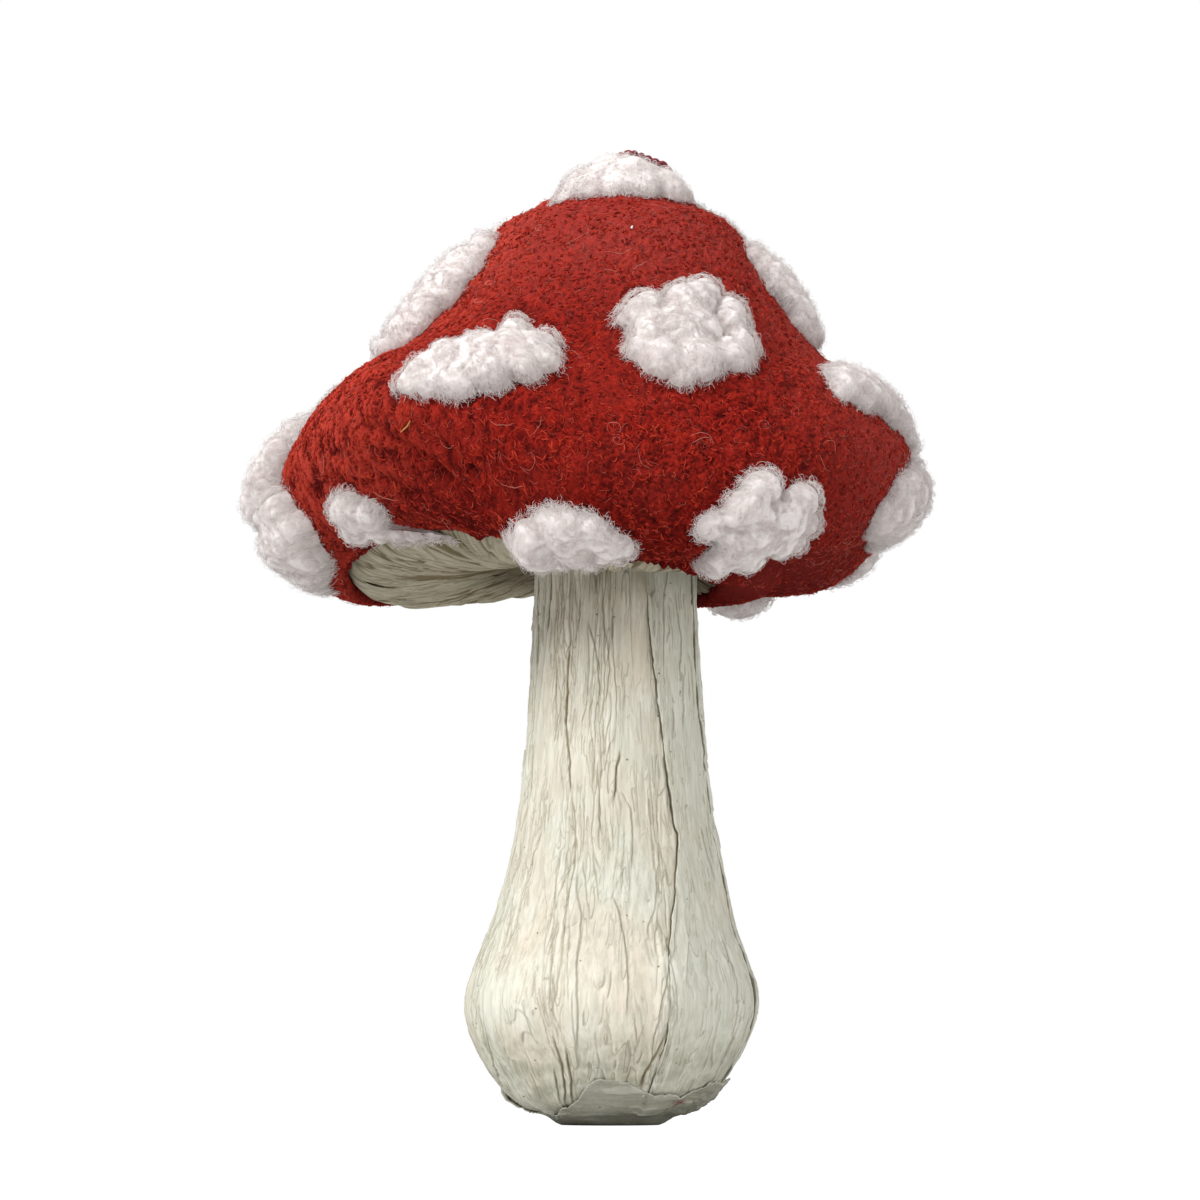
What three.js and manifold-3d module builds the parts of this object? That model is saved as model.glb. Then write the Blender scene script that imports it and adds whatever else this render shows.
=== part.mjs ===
// Mushroom ornament: foam stem and cap on a wooden peg, dressed in bark sheets,
// a boiled wool cover and tufts of white wool.
// Millimetres, +Z up. The origin is the centre of the flat foot, and the front faces -Y.
import * as THREE from "three";
import { mergeVertices } from "three/addons/utils/BufferGeometryUtils.js";
import Module from "manifold-3d";

const wasm = await Module();
wasm.setup();

const { degToRad, lerp, smoothstep } = THREE.MathUtils;

// Layers and clearances
const clearance = 0.3; // between pieces that lie on each other
const barkThickness = 0.9;
const feltThickness = 2.5;

// Stem: radius over the bark at heights above the floor
const stemLength = 136; // floor to the top of the foam
const footRadius = 11; // flat that it stands on
const heelRadius = 23.4;
const heelHeight = 7.4;
const bulbRadius = 32.6;
const bulbHeight = 26;
const calfRadius = 26.6;
const calfHeight = 47;
const shinRadius = 21.7;
const shinHeight = 70;
const neckRadius = 18.3;
const neckHeight = 112;
const stemLean = 1.2; // sideways shift of the neck over the foot
const leanStart = 27;
const leanEnd = 60;

// Bark sheets on the stem, anticlockwise from the seam at the front left
const seamAngles = [-148, -65, -8, 40, 96, 152];
const seamSlants = [5, 4, -6, 5, -4, 6]; // degrees from foot to neck
const seamLap = 3; // width that each sheet covers of the one before
const seamRamp = 4; // width in which it comes down to the foam
const sheetTuck = 3; // start of the sheets beyond the flat foot
const footSheetLow = 5; // where its torn part starts
const footSheetReach = 15.5; // mean reach of the foot sheet up the bulb
const footSheetWave = 2;
const footSheetWaves = 4; // round the foot
const footSheetPeak = -95; // degrees, where one of them reaches highest
const footTear = { angle: -152, width: 38, depth: 8 }; // where it is torn lower

// Joint between stem and cap
const insertDepth = 10; // stem in the cap's socket
const glueThickness = 1.2;
const glueMargin = 3; // from the edge of the foam
const pegRadius = 5;
const pegInStem = 32;
const pegInCap = 26;

// Cap: radius over the felt at heights above the lining at the neck
const crownHeight = 88;
const domeRadius = 20;
const domeHeight = 80.6;
const shoulderRadius = 29.4;
const shoulderHeight = 73.6;
const flankRadius = 49.6;
const flankHeight = 46.4;
const brimRadius = 62;
const brimHeight = 36.2;
const rimRadius = 72;
const rimHeight = 19;
const turnRadius = 66.5;
const turnHeight = 3.2;
const undersideRadius = 54;
const undersideDrop = 1.8; // of the rim's foot below the lining at the neck
const rimShift = -2.6; // sideways shift of the rim and of the crown
const crownShift = 2.4;

// The rim's waves and the hollows pressed into it. Places down the skin run from 0 at the crown to 1
// at the neck.
const rimPlace = 0.62;
const waveHeight = 5.5;
const waveCount = 3;
const wavePhase = 20; // degrees
const swayHeight = 3.2; // of a broader wave with two crests
const swayAngle = 62; // degrees, where one crest stands
const pinches = [
  { angle: -124, place: 0.7, depth: 4.5, width: 13, length: 0.066 },
  { angle: 104, place: 0.73, depth: 4.5, width: 22, length: 0.075 },
  { angle: 2, place: 0.735, depth: 6, width: 22, length: 0.08 },
];

// Felt lip and bark lining under the cap
const turnPlace = 0.74; // end of the evenly laid felt
const lipPlace = 0.83;
const lipWave = 0.06;
const lipPeak = -10; // degrees, where the felt reaches furthest in
const liningSheets = 4;
const pleatDepth = 0.6;
const liningBulge = 4; // below the line from the lip to the neck

// Wool tufts: place of the middle, half width and half length in millimetres, height over the felt
// and tilt in degrees
const tuftLobes = 0.16;
const tufts = [
  { name: "crown", angle: -80, place: 0.03, width: 15.5, length: 15, height: 5.5, tilt: 0 },
  { name: "upper_left", angle: -157, place: 0.32, width: 10, length: 20, height: 7, tilt: 4 },
  { name: "middle_left", angle: -116, place: 0.49, width: 20, length: 11, height: 6, tilt: -30 },
  { name: "centre_right", angle: -70, place: 0.4, width: 15.5, length: 15, height: 6.5, tilt: 0 },
  { name: "upper_right", angle: -14, place: 0.305, width: 9, length: 16, height: 5, tilt: -8 },
  { name: "right", angle: -20, place: 0.52, width: 22, length: 9, height: 7, tilt: 20 },
  { name: "rim_right", angle: -8, place: 0.675, width: 24, length: 12, height: 6.5, tilt: 4 },
  { name: "rim_front_right", angle: -59, place: 0.705, width: 17, length: 14, height: 7, tilt: -30 },
  { name: "rim_front", angle: -95.5, place: 0.74, width: 15.5, length: 10.5, height: 7, tilt: 14 },
  { name: "rim_front_left", angle: -144, place: 0.745, width: 11, length: 8, height: 5, tilt: 0 },
  { name: "rim_left", angle: -173, place: 0.69, width: 15, length: 9, height: 8.5, tilt: 6 },
  { name: "left", angle: -175, place: 0.59, width: 13, length: 9, height: 9, tilt: 8 },
  { name: "middle_far_left", angle: -168, place: 0.5, width: 5, length: 14, height: 2.4, tilt: 0 },
  { name: "upper_far_right", angle: 8, place: 0.17, width: 8, length: 12, height: 2.4, tilt: 0 },
  { name: "rim_back_right", angle: 32, place: 0.68, width: 13, length: 8, height: 5, tilt: 10 },
  { name: "rim_back", angle: 62, place: 0.745, width: 11, length: 10, height: 6, tilt: 0 },
  { name: "rim_back_left", angle: 118, place: 0.65, width: 19, length: 10, height: 7, tilt: -8 },
  { name: "rim_far_left", angle: 168, place: 0.735, width: 7, length: 7, height: 4, tilt: 0 },
  { name: "middle_back_right", angle: 20, place: 0.46, width: 15, length: 13, height: 7, tilt: 10 },
  { name: "middle_back", angle: 62, place: 0.47, width: 19, length: 15, height: 8, tilt: -16 },
  { name: "middle_back_left", angle: 102, place: 0.49, width: 15, length: 12, height: 7, tilt: 12 },
  { name: "middle_left_back", angle: 144, place: 0.5, width: 18, length: 15, height: 7, tilt: -10 },
  { name: "left_back", angle: 172, place: 0.36, width: 9, length: 12, height: 6, tilt: 0 },
  { name: "upper_back_right", angle: 44, place: 0.25, width: 12, length: 11, height: 6, tilt: 14 },
  { name: "upper_back", angle: 98, place: 0.27, width: 14, length: 12, height: 7, tilt: -14 },
  { name: "upper_left_back", angle: 150, place: 0.2, width: 12, length: 12, height: 6, tilt: 0 },
];

// Twisted cord on the back of the crown's tuft
const cordRadius = 0.75;
const cordLobe = 0.25; // of its radius
const cordTwist = 3.7; // length of a full turn
const cordStart = -25; // degrees round the tuft
const cordEnd = -115;
const cordSpread = 1.02; // ends of the cord, of the tuft's width
const cordDraw = 0.7; // how much nearer its middle lies
const cordLift = 1.02; // of the tuft's height, at its middle
const cordRoundness = 0.25; // how steeply its ends rise, 0 for upright

// Facets
const capSegments = 40;
const stemSegments = 36;
const tuftSegments = 16;
const cordSteps = 30;
const topRows = 13;
const stemBodyRows = 9;
const footSheetRows = 4; // in its torn part
const rowCrowding = 1.5; // of the stem's rows towards its foot

const colours = {
  foam: 0xf2f1ec,
  wood: 0xd9b98a,
  glue: 0xe9e4cf,
  bark: 0xdfdac6,
  shadedBark: 0x9a927a,
  felt: 0x98261f,
  cord: 0x5c1420,
  wool: 0xf0ebe8,
};

function material(colour, roughness) {
  return new THREE.MeshStandardMaterial({ color: colour, roughness, metalness: 0 });
}

const foam = material(colours.foam, 0.8);
const wood = material(colours.wood, 0.7);
const glue = material(colours.glue, 0.3);
const bark = material(colours.bark, 0.85);
const shadedBark = material(colours.shadedBark, 0.85);
const felt = material(colours.felt, 1);
const cordYarn = material(colours.cord, 0.7);
const wool = material(colours.wool, 1);

// Closed surfaces

function geometryFrom(points, faces) {
  const positions = new Float32Array(points.flatMap((point) => [point.x, point.y, point.z]));
  const geometry = new THREE.BufferGeometry();
  geometry.setAttribute("position", new THREE.BufferAttribute(positions, 3));
  let volume = 0;
  for (let i = 0; i < faces.length; i += 3) {
    const [a, b, c] = [points[faces[i]], points[faces[i + 1]], points[faces[i + 2]]];
    volume += a.dot(b.clone().cross(c));
  }
  geometry.setIndex(volume < 0 ? faces.toReversed() : faces);
  geometry.computeVertexNormals();
  return geometry;
}

// Faces between two rings of points, given by the place of their first points. A ring of one is a pole.
function band(first, firstCount, second, secondCount) {
  const faces = [];
  const count = Math.max(firstCount, secondCount);
  for (let i = 0; i < count; i += 1) {
    const next = (i + 1) % count;
    if (firstCount > 1) faces.push(first + i, first + next, secondCount > 1 ? second + i : second);
    if (secondCount > 1) faces.push(firstCount > 1 ? first + next : first, second + next, second + i);
  }
  return faces;
}

function startsOf(rows) {
  let count = 0;
  return rows.map((row) => {
    count += row.length;
    return count - row.length;
  });
}

// Rings from one pole to the other
function ringSolid(rings) {
  const starts = startsOf(rings);
  const faces = [];
  for (let i = 1; i < rings.length; i += 1) {
    faces.push(...band(starts[i - 1], rings[i - 1].length, starts[i], rings[i].length));
  }
  return geometryFrom(rings.flat(), faces);
}

// A sheet between two grids of points of the same size. Its rows are rings if round is true, and the
// first row may then be a pole.
function sheetSolid(outer, inner, round = false) {
  const starts = startsOf(outer);
  const half = outer.flat().length;
  const last = outer.length - 1;
  const row = (i) => outer[i].map((_, k) => starts[i] + k);
  const sheet = [];
  for (let i = 0; i < last; i += 1) {
    const strip = band(starts[i], outer[i].length, starts[i + 1], outer[i + 1].length);
    sheet.push(...(round ? strip : strip.slice(0, -6)));
  }
  const loops = round
    ? [row(last), outer[0].length > 1 ? row(0).toReversed() : []]
    : [
        [
          ...row(last),
          ...starts.slice(1, last).toReversed().map((start) => start + outer[0].length - 1),
          ...row(0).toReversed(),
          ...starts.slice(1, last),
        ],
      ];
  const walls = loops.flatMap((loop) =>
    loop.flatMap((a, k) => {
      const b = loop[(k + 1) % loop.length];
      return [a, b, a + half, b, b + half, a + half];
    }),
  );
  const back = sheet.map((index) => index + half).toReversed();
  return geometryFrom([...outer, ...inner].flat(), [...sheet, ...back, ...walls]);
}

function solidFrom(geometry) {
  const bare = geometry.clone().deleteAttribute("normal");
  const merged = mergeVertices(bare, 1e-4);
  return new wasm.Manifold(
    new wasm.Mesh({
      numProp: 3,
      vertProperties: merged.attributes.position.array,
      triVerts: new Uint32Array(merged.index.array),
    }),
  );
}

function geometryOf(solid) {
  const mesh = solid.getMesh();
  const geometry = new THREE.BufferGeometry();
  geometry.setAttribute("position", new THREE.BufferAttribute(mesh.vertProperties, 3));
  geometry.setIndex(new THREE.BufferAttribute(mesh.triVerts, 1));
  geometry.computeVertexNormals();
  return geometry;
}

function named(name, geometry, finish) {
  const mesh = new THREE.Mesh(geometry, finish);
  mesh.name = name;
  return mesh;
}

function steps(from, to, count) {
  return Array.from({ length: count + 1 }, (_, i) => lerp(from, to, i / count));
}

// Angle from a direction given in degrees, at most half a turn either way
function turnedBy(angle, degrees) {
  const turned = angle - degToRad(degrees);
  return Math.atan2(Math.sin(turned), Math.cos(turned));
}

function anglesRound(count) {
  return Array.from({ length: count }, (_, i) => (i * 2 * Math.PI) / count);
}

// Point of an outline at a share of its length, moved off to its left
function outlinePoint(outline, place, aside) {
  const share = Math.min(Math.max(place, 0), 1);
  const point = outline.getPointAt(share);
  const tangent = outline.getTangentAt(share);
  return new THREE.Vector2(point.x - tangent.y * aside, point.y + tangent.x * aside);
}

// Stem

const stemFloor = barkThickness + clearance; // underside of the foam, on the foot sheet
const stemOutline = new THREE.SplineCurve([
  new THREE.Vector2(footRadius, stemFloor),
  new THREE.Vector2(heelRadius, heelHeight),
  new THREE.Vector2(bulbRadius, bulbHeight),
  new THREE.Vector2(calfRadius, calfHeight),
  new THREE.Vector2(shinRadius, shinHeight),
  new THREE.Vector2(neckRadius, neckHeight),
  new THREE.Vector2(neckRadius, stemLength),
]);
const stemSkinLength = stemOutline.getLength();
const bodyPlaces = steps(0, 1, stemBodyRows).map((share) => lerp(footSheetLow, stemSkinLength, share ** rowCrowding));
const stemRows = [0, sheetTuck, ...bodyPlaces];

function leanAt(height) {
  return stemLean * smoothstep(height, leanStart, leanEnd);
}

function stemPoint(angle, along, depth) {
  const { x: radius, y: height } = outlinePoint(stemOutline, along / stemSkinLength, depth);
  return new THREE.Vector3(leanAt(height) + radius * Math.cos(angle), radius * Math.sin(angle), height);
}

function stemRing(along, depth, angles) {
  return angles.map((angle) => stemPoint(angle, along, depth));
}

function circle(radius, height, angles, shift = 0) {
  return angles.map(
    (angle) => new THREE.Vector3(shift + radius * Math.cos(angle), radius * Math.sin(angle), height),
  );
}

function stemCore() {
  const angles = anglesRound(stemSegments);
  const depth = barkThickness + clearance;
  const boreRadius = pegRadius + clearance;
  const boreFloor = stemLength - pegInStem - clearance;
  const rings = [
    [new THREE.Vector3(0, 0, stemFloor)],
    circle(footRadius, stemFloor, angles),
    ...stemRows.slice(1).map((along) => stemRing(along, depth, angles)),
    circle(boreRadius, stemLength, angles, stemLean),
    circle(boreRadius, boreFloor, angles, stemLean),
    [new THREE.Vector3(stemLean, 0, boreFloor)],
  ];
  return named("stem_foam_core", ringSolid(rings), foam);
}

function seamAngle(seam, along) {
  const slant = seamSlants[seam] * (along / stemSkinLength - 0.5);
  return degToRad(seamAngles[seam] + slant);
}

// A sheet starts on top of the one before it and ends under the next
function stemSheet(seam, name) {
  const nextSeam = (seam + 1) % seamAngles.length;
  const turn = nextSeam < seam ? 2 * Math.PI : 0;
  const columns = 7;
  const lift = barkThickness + clearance;
  const outer = [];
  const inner = [];
  for (const along of stemRows.slice(1)) {
    const radius = outlinePoint(stemOutline, along / stemSkinLength, 0).x;
    const laid = seamAngle(seam, along);
    const landed = laid + seamRamp / radius;
    const end = seamAngle(nextSeam, along) + turn - clearance / radius;
    const places = [
      { angle: laid - seamLap / radius, rise: lift },
      { angle: laid, rise: lift },
      ...steps(landed, end, columns).map((angle) => ({ angle, rise: 0 })),
    ];
    outer.push(places.map(({ angle, rise }) => stemPoint(angle, along, -rise)));
    inner.push(places.map(({ angle, rise }) => stemPoint(angle, along, barkThickness - rise)));
  }
  return named(name, sheetSolid(outer, inner), bark);
}

function footSheet() {
  const angles = anglesRound(stemSegments);
  const reach = (angle) => {
    const wave = footSheetWave * Math.cos(footSheetWaves * (angle - degToRad(footSheetPeak)));
    const across = turnedBy(angle, footTear.angle) / degToRad(footTear.width);
    const tear = footTear.depth * Math.exp(-(across ** 2));
    return footSheetReach + wave - tear;
  };
  const side = (height, rise) => [
    [new THREE.Vector3(0, 0, height)],
    circle(footRadius, height, angles),
    stemRing(stemRows[1], -rise, angles),
    ...steps(0, 1, footSheetRows).map((share) =>
      angles.map((angle) => stemPoint(angle, lerp(stemRows[2], reach(angle), share), -rise)),
    ),
  ];
  const rise = 2 * (barkThickness + clearance);
  const geometry = sheetSolid(side(0, rise), side(barkThickness, rise - barkThickness), true);
  return named("foot_sheet", geometry, shadedBark);
}

// Cap, in its own frame: zero height is the lining at the neck

const undersideDepth = feltThickness + clearance; // of the lining behind the line of the felt
const socketRadius = neckRadius + barkThickness + 2 * clearance;
const capOutline = new THREE.SplineCurve([
  new THREE.Vector2(0, crownHeight),
  new THREE.Vector2(domeRadius / 2, crownHeight - (crownHeight - domeHeight) / 5),
  new THREE.Vector2(domeRadius, domeHeight),
  new THREE.Vector2(shoulderRadius, shoulderHeight),
  new THREE.Vector2(flankRadius, flankHeight),
  new THREE.Vector2(brimRadius, brimHeight),
  new THREE.Vector2(rimRadius, rimHeight),
  new THREE.Vector2(turnRadius, turnHeight),
  new THREE.Vector2(undersideRadius, -undersideDrop),
  new THREE.Vector2(socketRadius, -undersideDepth),
]);
const capSkinLength = capOutline.getLength();
const capRows = steps(0, turnPlace, topRows);

function capPoint(angle, place, depth) {
  const toRim = smoothstep(place, 0, rimPlace);
  const toNeck = smoothstep(place, rimPlace, 1);
  const centre = lerp(lerp(crownShift, rimShift, toRim), stemLean, toNeck);
  const waving = smoothstep(place, rimPlace / 2, rimPlace) * (1 - toNeck);
  const wave = waveHeight * Math.cos(waveCount * (angle + degToRad(wavePhase)));
  const sway = swayHeight * Math.cos(2 * (angle - degToRad(swayAngle)));
  let pressed = 0;
  for (const pinch of pinches) {
    const across = turnedBy(angle, pinch.angle) / degToRad(pinch.width);
    const down = (place - pinch.place) / pinch.length;
    pressed += pinch.depth * Math.exp(-(across ** 2) - down ** 2);
  }
  const { x: radius, y: height } = outlinePoint(capOutline, place, -depth - pressed);
  const rise = waving * (wave + sway);
  return new THREE.Vector3(centre + radius * Math.cos(angle), radius * Math.sin(angle), height + rise);
}

const capAngles = anglesRound(capSegments);

function capRing(place, depth) {
  return capAngles.map((angle) => capPoint(angle, place, depth));
}

// Places under the cap: stage 0 is the turn, 1 the end of the felt lip and 2 the neck
function underPlace(angle, stage) {
  const lip = lipPlace + lipWave * Math.cos(angle - degToRad(lipPeak));
  return stage < 1 ? lerp(turnPlace, lip, stage) : lerp(lip, 1, stage - 1);
}

// How far the lining and the core behind it stand out under the cap
function bulgeAt(stage) {
  return stage > 1 ? liningBulge * Math.sin(Math.PI * (stage - 1) ** 0.7) : 0;
}

const lipStages = [0.5, 1];
const liningStages = [0.5, 1, 1.33, 1.67, 2];

function underRing(stage, depth) {
  return capAngles.map((angle) => capPoint(angle, underPlace(angle, stage), depth));
}

function woolCover() {
  const side = (depth) => [
    [capPoint(0, 0, depth)],
    ...capRows.slice(1).map((place) => capRing(place, depth)),
    ...lipStages.map((stage) => underRing(stage, depth)),
  ];
  return named("wool_cover", sheetSolid(side(0), side(feltThickness), true), felt);
}

// The core lies behind the felt, and behind the lining too on the underside
function coreDepth(place) {
  const lined = smoothstep(place, rimPlace, turnPlace);
  return feltThickness + clearance + (barkThickness + clearance) * lined;
}

const socketHeight = insertDepth + 2 * clearance + glueThickness;

function capCore() {
  const boreRadius = pegRadius + clearance;
  const boreTop = insertDepth + pegInCap + clearance;
  const rings = [
    [capPoint(0, 0, coreDepth(0))],
    ...capRows.slice(1).map((place) => capRing(place, coreDepth(place))),
    ...liningStages.map((stage) => underRing(stage, coreDepth(1) - bulgeAt(stage))),
    circle(socketRadius, socketHeight, capAngles, stemLean),
    circle(boreRadius, socketHeight, capAngles, stemLean),
    circle(boreRadius, boreTop, capAngles, stemLean),
    [new THREE.Vector3(stemLean, 0, boreTop)],
  ];
  return named("cap_foam_core", ringSolid(rings), foam);
}

// Bark lining in sectors, pleated towards the neck and tucked under the felt lip
function liningSheet(index) {
  const columns = capSegments / liningSheets;
  const sector = (2 * Math.PI) / liningSheets;
  const side = (stage, back) => {
    const pleats = stage > 1 && stage < 2 ? pleatDepth : 0;
    return steps(0, columns, columns).map((column) => {
      const angle = sector * (index + column / columns);
      const place = underPlace(angle, stage);
      const radius = outlinePoint(capOutline, place, 0).x;
      const margin = (clearance / radius) * (0.5 - column / columns);
      const raised = column % 2 === 0 ? pleats : 0;
      return capPoint(angle + margin, place, undersideDepth - bulgeAt(stage) - raised + back);
    });
  };
  const outer = liningStages.map((stage) => side(stage, 0));
  const inner = liningStages.map((stage) => side(stage, barkThickness));
  return named(`lining_sheet_${index + 1}`, sheetSolid(outer, inner), shadedBark);
}

// Wool

// Point of a tuft: a direction round it, a share of its width and a height over the felt
function tuftPoint(tuft, direction, share, height, margin = 0) {
  const turn = degToRad(tuft.angle);
  const lobes = 0.6 * Math.sin(3 * direction + 5 * turn) + 0.4 * Math.sin(5 * direction - 9 * turn);
  const spread = share * (1 + tuftLobes * lobes);
  const local = new THREE.Vector2(
    (tuft.width + margin) * spread * Math.cos(direction),
    (tuft.length + margin) * spread * Math.sin(direction),
  );
  local.rotateAround(new THREE.Vector2(), degToRad(tuft.tilt));
  const down = tuft.place * capSkinLength;
  const stretch = down / outlinePoint(capOutline, tuft.place, 0).x;
  const spot = new THREE.Vector2(down + local.y, local.x * stretch);
  return capPoint(turn + spot.angle(), spot.length() / capSkinLength, -height);
}

function tuftBody(tuft, margin = 0) {
  const directions = anglesRound(tuftSegments);
  const height = tuft.height + margin;
  const ring = (share, level) =>
    directions.map((direction) => tuftPoint(tuft, direction, share, level, margin));
  const middle = (level) => [tuftPoint(tuft, 0, 0, level)];
  const sunk = -2 * feltThickness;
  const rings = [
    middle(height),
    ring(0.45, 0.96 * height),
    ring(0.8, 0.8 * height),
    ring(1, 0.4 * height),
    ring(0.97, sunk),
    middle(sunk),
  ];
  return solidFrom(ringSolid(rings));
}

// The cap with the clearance laid over it
function capSpace() {
  const undersideFace = (stage) => Math.min(0, undersideDepth - bulgeAt(stage) - pleatDepth);
  const rings = [
    [capPoint(0, 0, -clearance)],
    ...capRows.slice(1).map((place) => capRing(place, -clearance)),
    ...liningStages.map((stage) => underRing(stage, undersideFace(stage) - clearance)),
    [new THREE.Vector3(stemLean, 0, insertDepth)],
  ];
  return solidFrom(ringSolid(rings));
}

function largest(solid) {
  return solid.decompose().sort((a, b) => b.volume() - a.volume())[0];
}

// Two-ply cord in an arc round the back of the crown's tuft, or the round space that it takes
function cordBody(margin = 0) {
  const [crownTuft] = tufts;
  const path = new THREE.CatmullRomCurve3(
    steps(0, 1, cordSteps / 3).map((share) => {
      const direction = degToRad(lerp(cordStart, cordEnd, share));
      const arch = Math.sin(Math.PI * share);
      const lift = cordLift * crownTuft.height * arch ** cordRoundness;
      const height = lift + cordRadius * (1 + cordLobe) + clearance;
      return tuftPoint(crownTuft, direction, cordSpread - cordDraw * arch, height);
    }),
  );
  const length = path.getLength();
  const upward = new THREE.Vector3(0, 0, 1);
  const rings = steps(0, 1, margin > 0 ? cordSteps / 3 : cordSteps).map((share) => {
    const centre = path.getPointAt(share);
    const side = path.getTangentAt(share).cross(upward).normalize();
    const top = side.clone().cross(path.getTangentAt(share));
    return anglesRound(8).map((angle) => {
      const turned = angle + (2 * Math.PI * share * length) / cordTwist;
      const lobe = margin > 0 ? 1 : Math.cos(2 * angle);
      const radius = cordRadius * (1 + cordLobe * lobe) + margin;
      return centre
        .clone()
        .addScaledVector(side, radius * Math.cos(turned))
        .addScaledVector(top, radius * Math.sin(turned));
    });
  });
  return ringSolid([[path.getPointAt(0)], ...rings, [path.getPointAt(1)]]);
}

function woolTufts() {
  const space = capSpace();
  const taken = [solidFrom(cordBody(clearance))];
  return tufts.map((tuft) => {
    let body = tuftBody(tuft).subtract(space);
    for (const neighbour of taken) body = body.subtract(neighbour);
    taken.push(tuftBody(tuft, clearance));
    return named(`wool_tuft_${tuft.name}`, geometryOf(largest(body)), wool);
  });
}

// Joint

function neckPeg() {
  const length = pegInStem + pegInCap;
  const geometry = new THREE.CylinderGeometry(pegRadius, pegRadius, length, 24);
  const mesh = named("neck_peg", geometry, wood);
  mesh.rotation.x = Math.PI / 2;
  mesh.position.set(stemLean, 0, stemLength + (pegInCap - pegInStem) / 2);
  return mesh;
}

function neckGlue() {
  const inner = pegRadius + 2 * clearance;
  const outer = neckRadius - barkThickness - glueMargin;
  const profile = [
    new THREE.Vector2(inner, 0),
    new THREE.Vector2(outer, 0),
    new THREE.Vector2(outer, glueThickness),
    new THREE.Vector2(inner, glueThickness),
    new THREE.Vector2(inner, 0),
  ];
  const mesh = named("neck_glue", new THREE.LatheGeometry(profile, stemSegments), glue);
  mesh.rotation.x = Math.PI / 2;
  mesh.position.set(stemLean, 0, stemLength + clearance);
  return mesh;
}

const stem = new THREE.Group();
stem.add(stemCore(), footSheet());
const sheetNames = ["front", "front_right", "right", "back_right", "back", "left"];
sheetNames.forEach((side, seam) => stem.add(stemSheet(seam, `stem_sheet_${side}`)));
stem.add(neckPeg(), neckGlue());

const cap = new THREE.Group();
cap.position.z = stemLength - insertDepth;
cap.add(capCore(), woolCover());
for (let index = 0; index < liningSheets; index += 1) cap.add(liningSheet(index));
cap.add(named("crown_cord", cordBody(), cordYarn), ...woolTufts());

const ornament = new THREE.Group();
ornament.add(stem, cap);

export default ornament;
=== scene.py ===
import bpy
import itertools
import math
import numpy as np
from concurrent.futures import ThreadPoolExecutor
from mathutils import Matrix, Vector


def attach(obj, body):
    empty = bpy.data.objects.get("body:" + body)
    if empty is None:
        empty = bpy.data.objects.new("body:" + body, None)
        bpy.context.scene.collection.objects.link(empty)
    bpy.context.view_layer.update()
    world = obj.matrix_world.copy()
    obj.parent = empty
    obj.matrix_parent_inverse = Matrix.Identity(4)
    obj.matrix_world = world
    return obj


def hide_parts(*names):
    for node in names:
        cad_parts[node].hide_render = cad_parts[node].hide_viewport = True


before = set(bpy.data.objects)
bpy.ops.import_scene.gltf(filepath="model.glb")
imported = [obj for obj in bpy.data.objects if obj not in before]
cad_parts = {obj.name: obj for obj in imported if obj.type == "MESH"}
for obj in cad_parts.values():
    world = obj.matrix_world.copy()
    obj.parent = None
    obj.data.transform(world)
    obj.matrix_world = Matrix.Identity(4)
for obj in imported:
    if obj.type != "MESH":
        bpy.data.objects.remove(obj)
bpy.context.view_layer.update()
mm = 0.001
turn = 2 * math.pi

# Small tools. All lengths below are millimetres

primes = [np.uint32(374761393), np.uint32(668265263), np.uint32(1103515245)]
hashStep = 2654435761
noiseShift = 71.3  # keeps the lattice's corners off the object's axes
sliceSize = 40000
workers = ThreadPoolExecutor(4)


def inParts(work, points, *rest):  # the same work on slices of the points, side by side
    flat = np.asarray(points, float).reshape(-1, 3)
    starts = range(0, max(len(flat), 1), sliceSize)
    found = list(workers.map(lambda start: work(flat[start : start + sliceSize], *rest), starts))
    return np.concatenate(found).reshape(np.shape(points)[:-1])


def mixBits(h):
    h = (h ^ (h >> np.uint32(13))) * np.uint32(1274126177)
    return h ^ (h >> np.uint32(16))


# each point's place in its cell, and for each cell near it that place, the cell's offset and random bits
def cellsNear(points, size, key, offsets):
    p = points / size + noiseShift
    cell = np.floor(p)
    inCell = (p - cell).astype(np.float32)
    cell = cell.astype(np.int64).astype(np.uint32)
    shifts = np.array(offsets).astype(np.uint32)
    steps = [[(cell[:, axis] + shift) * primes[axis] for shift in shifts] for axis in range(3)]
    shared = np.uint32(key & 0xFFFFFFFF)

    def cells():
        for i, j, k in itertools.product(range(len(offsets)), repeat=3):
            h = mixBits(steps[0][i] + steps[1][j] + steps[2][k] + shared)
            bits = [((h >> np.uint32(10 * axis)) & np.uint32(1023)).astype(np.float32) for axis in range(3)]
            yield list(zip(inCell.T, (offsets[i], offsets[j], offsets[k]), bits))

    return inCell, cells()


def softSlice(points, size, seed):
    inCell, cells = cellsNear(points, size, seed * hashStep, (0, 1))
    fades = (inCell * inCell * inCell * (inCell * (inCell * 6 - 15) + 10)).T
    total = np.zeros(len(inCell), np.float32)
    for cell in cells:
        value = sum((bits * (2 / 1023) - 1) * (f - d) for f, d, bits in cell)
        for fade, (_, d, _) in zip(fades, cell):
            value = value * (fade if d else 1 - fade)
        total += value
    return total * 1.6


def lumpSlice(points, size, seed):
    inCell, cells = cellsNear(points, size, seed * hashStep + 977, (-1, 0, 1))
    nearest = np.full(len(inCell), 9.0, np.float32)
    for cell in cells:
        nearest = np.minimum(nearest, sum((d + bits * (1 / 1023) - f) ** 2 for f, d, bits in cell))
    return 1 - np.clip(nearest, 0, 1)


def softNoise(points, size, seed=0):  # rolling noise, about -1 to 1
    return inParts(softSlice, points, size, seed)


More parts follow.
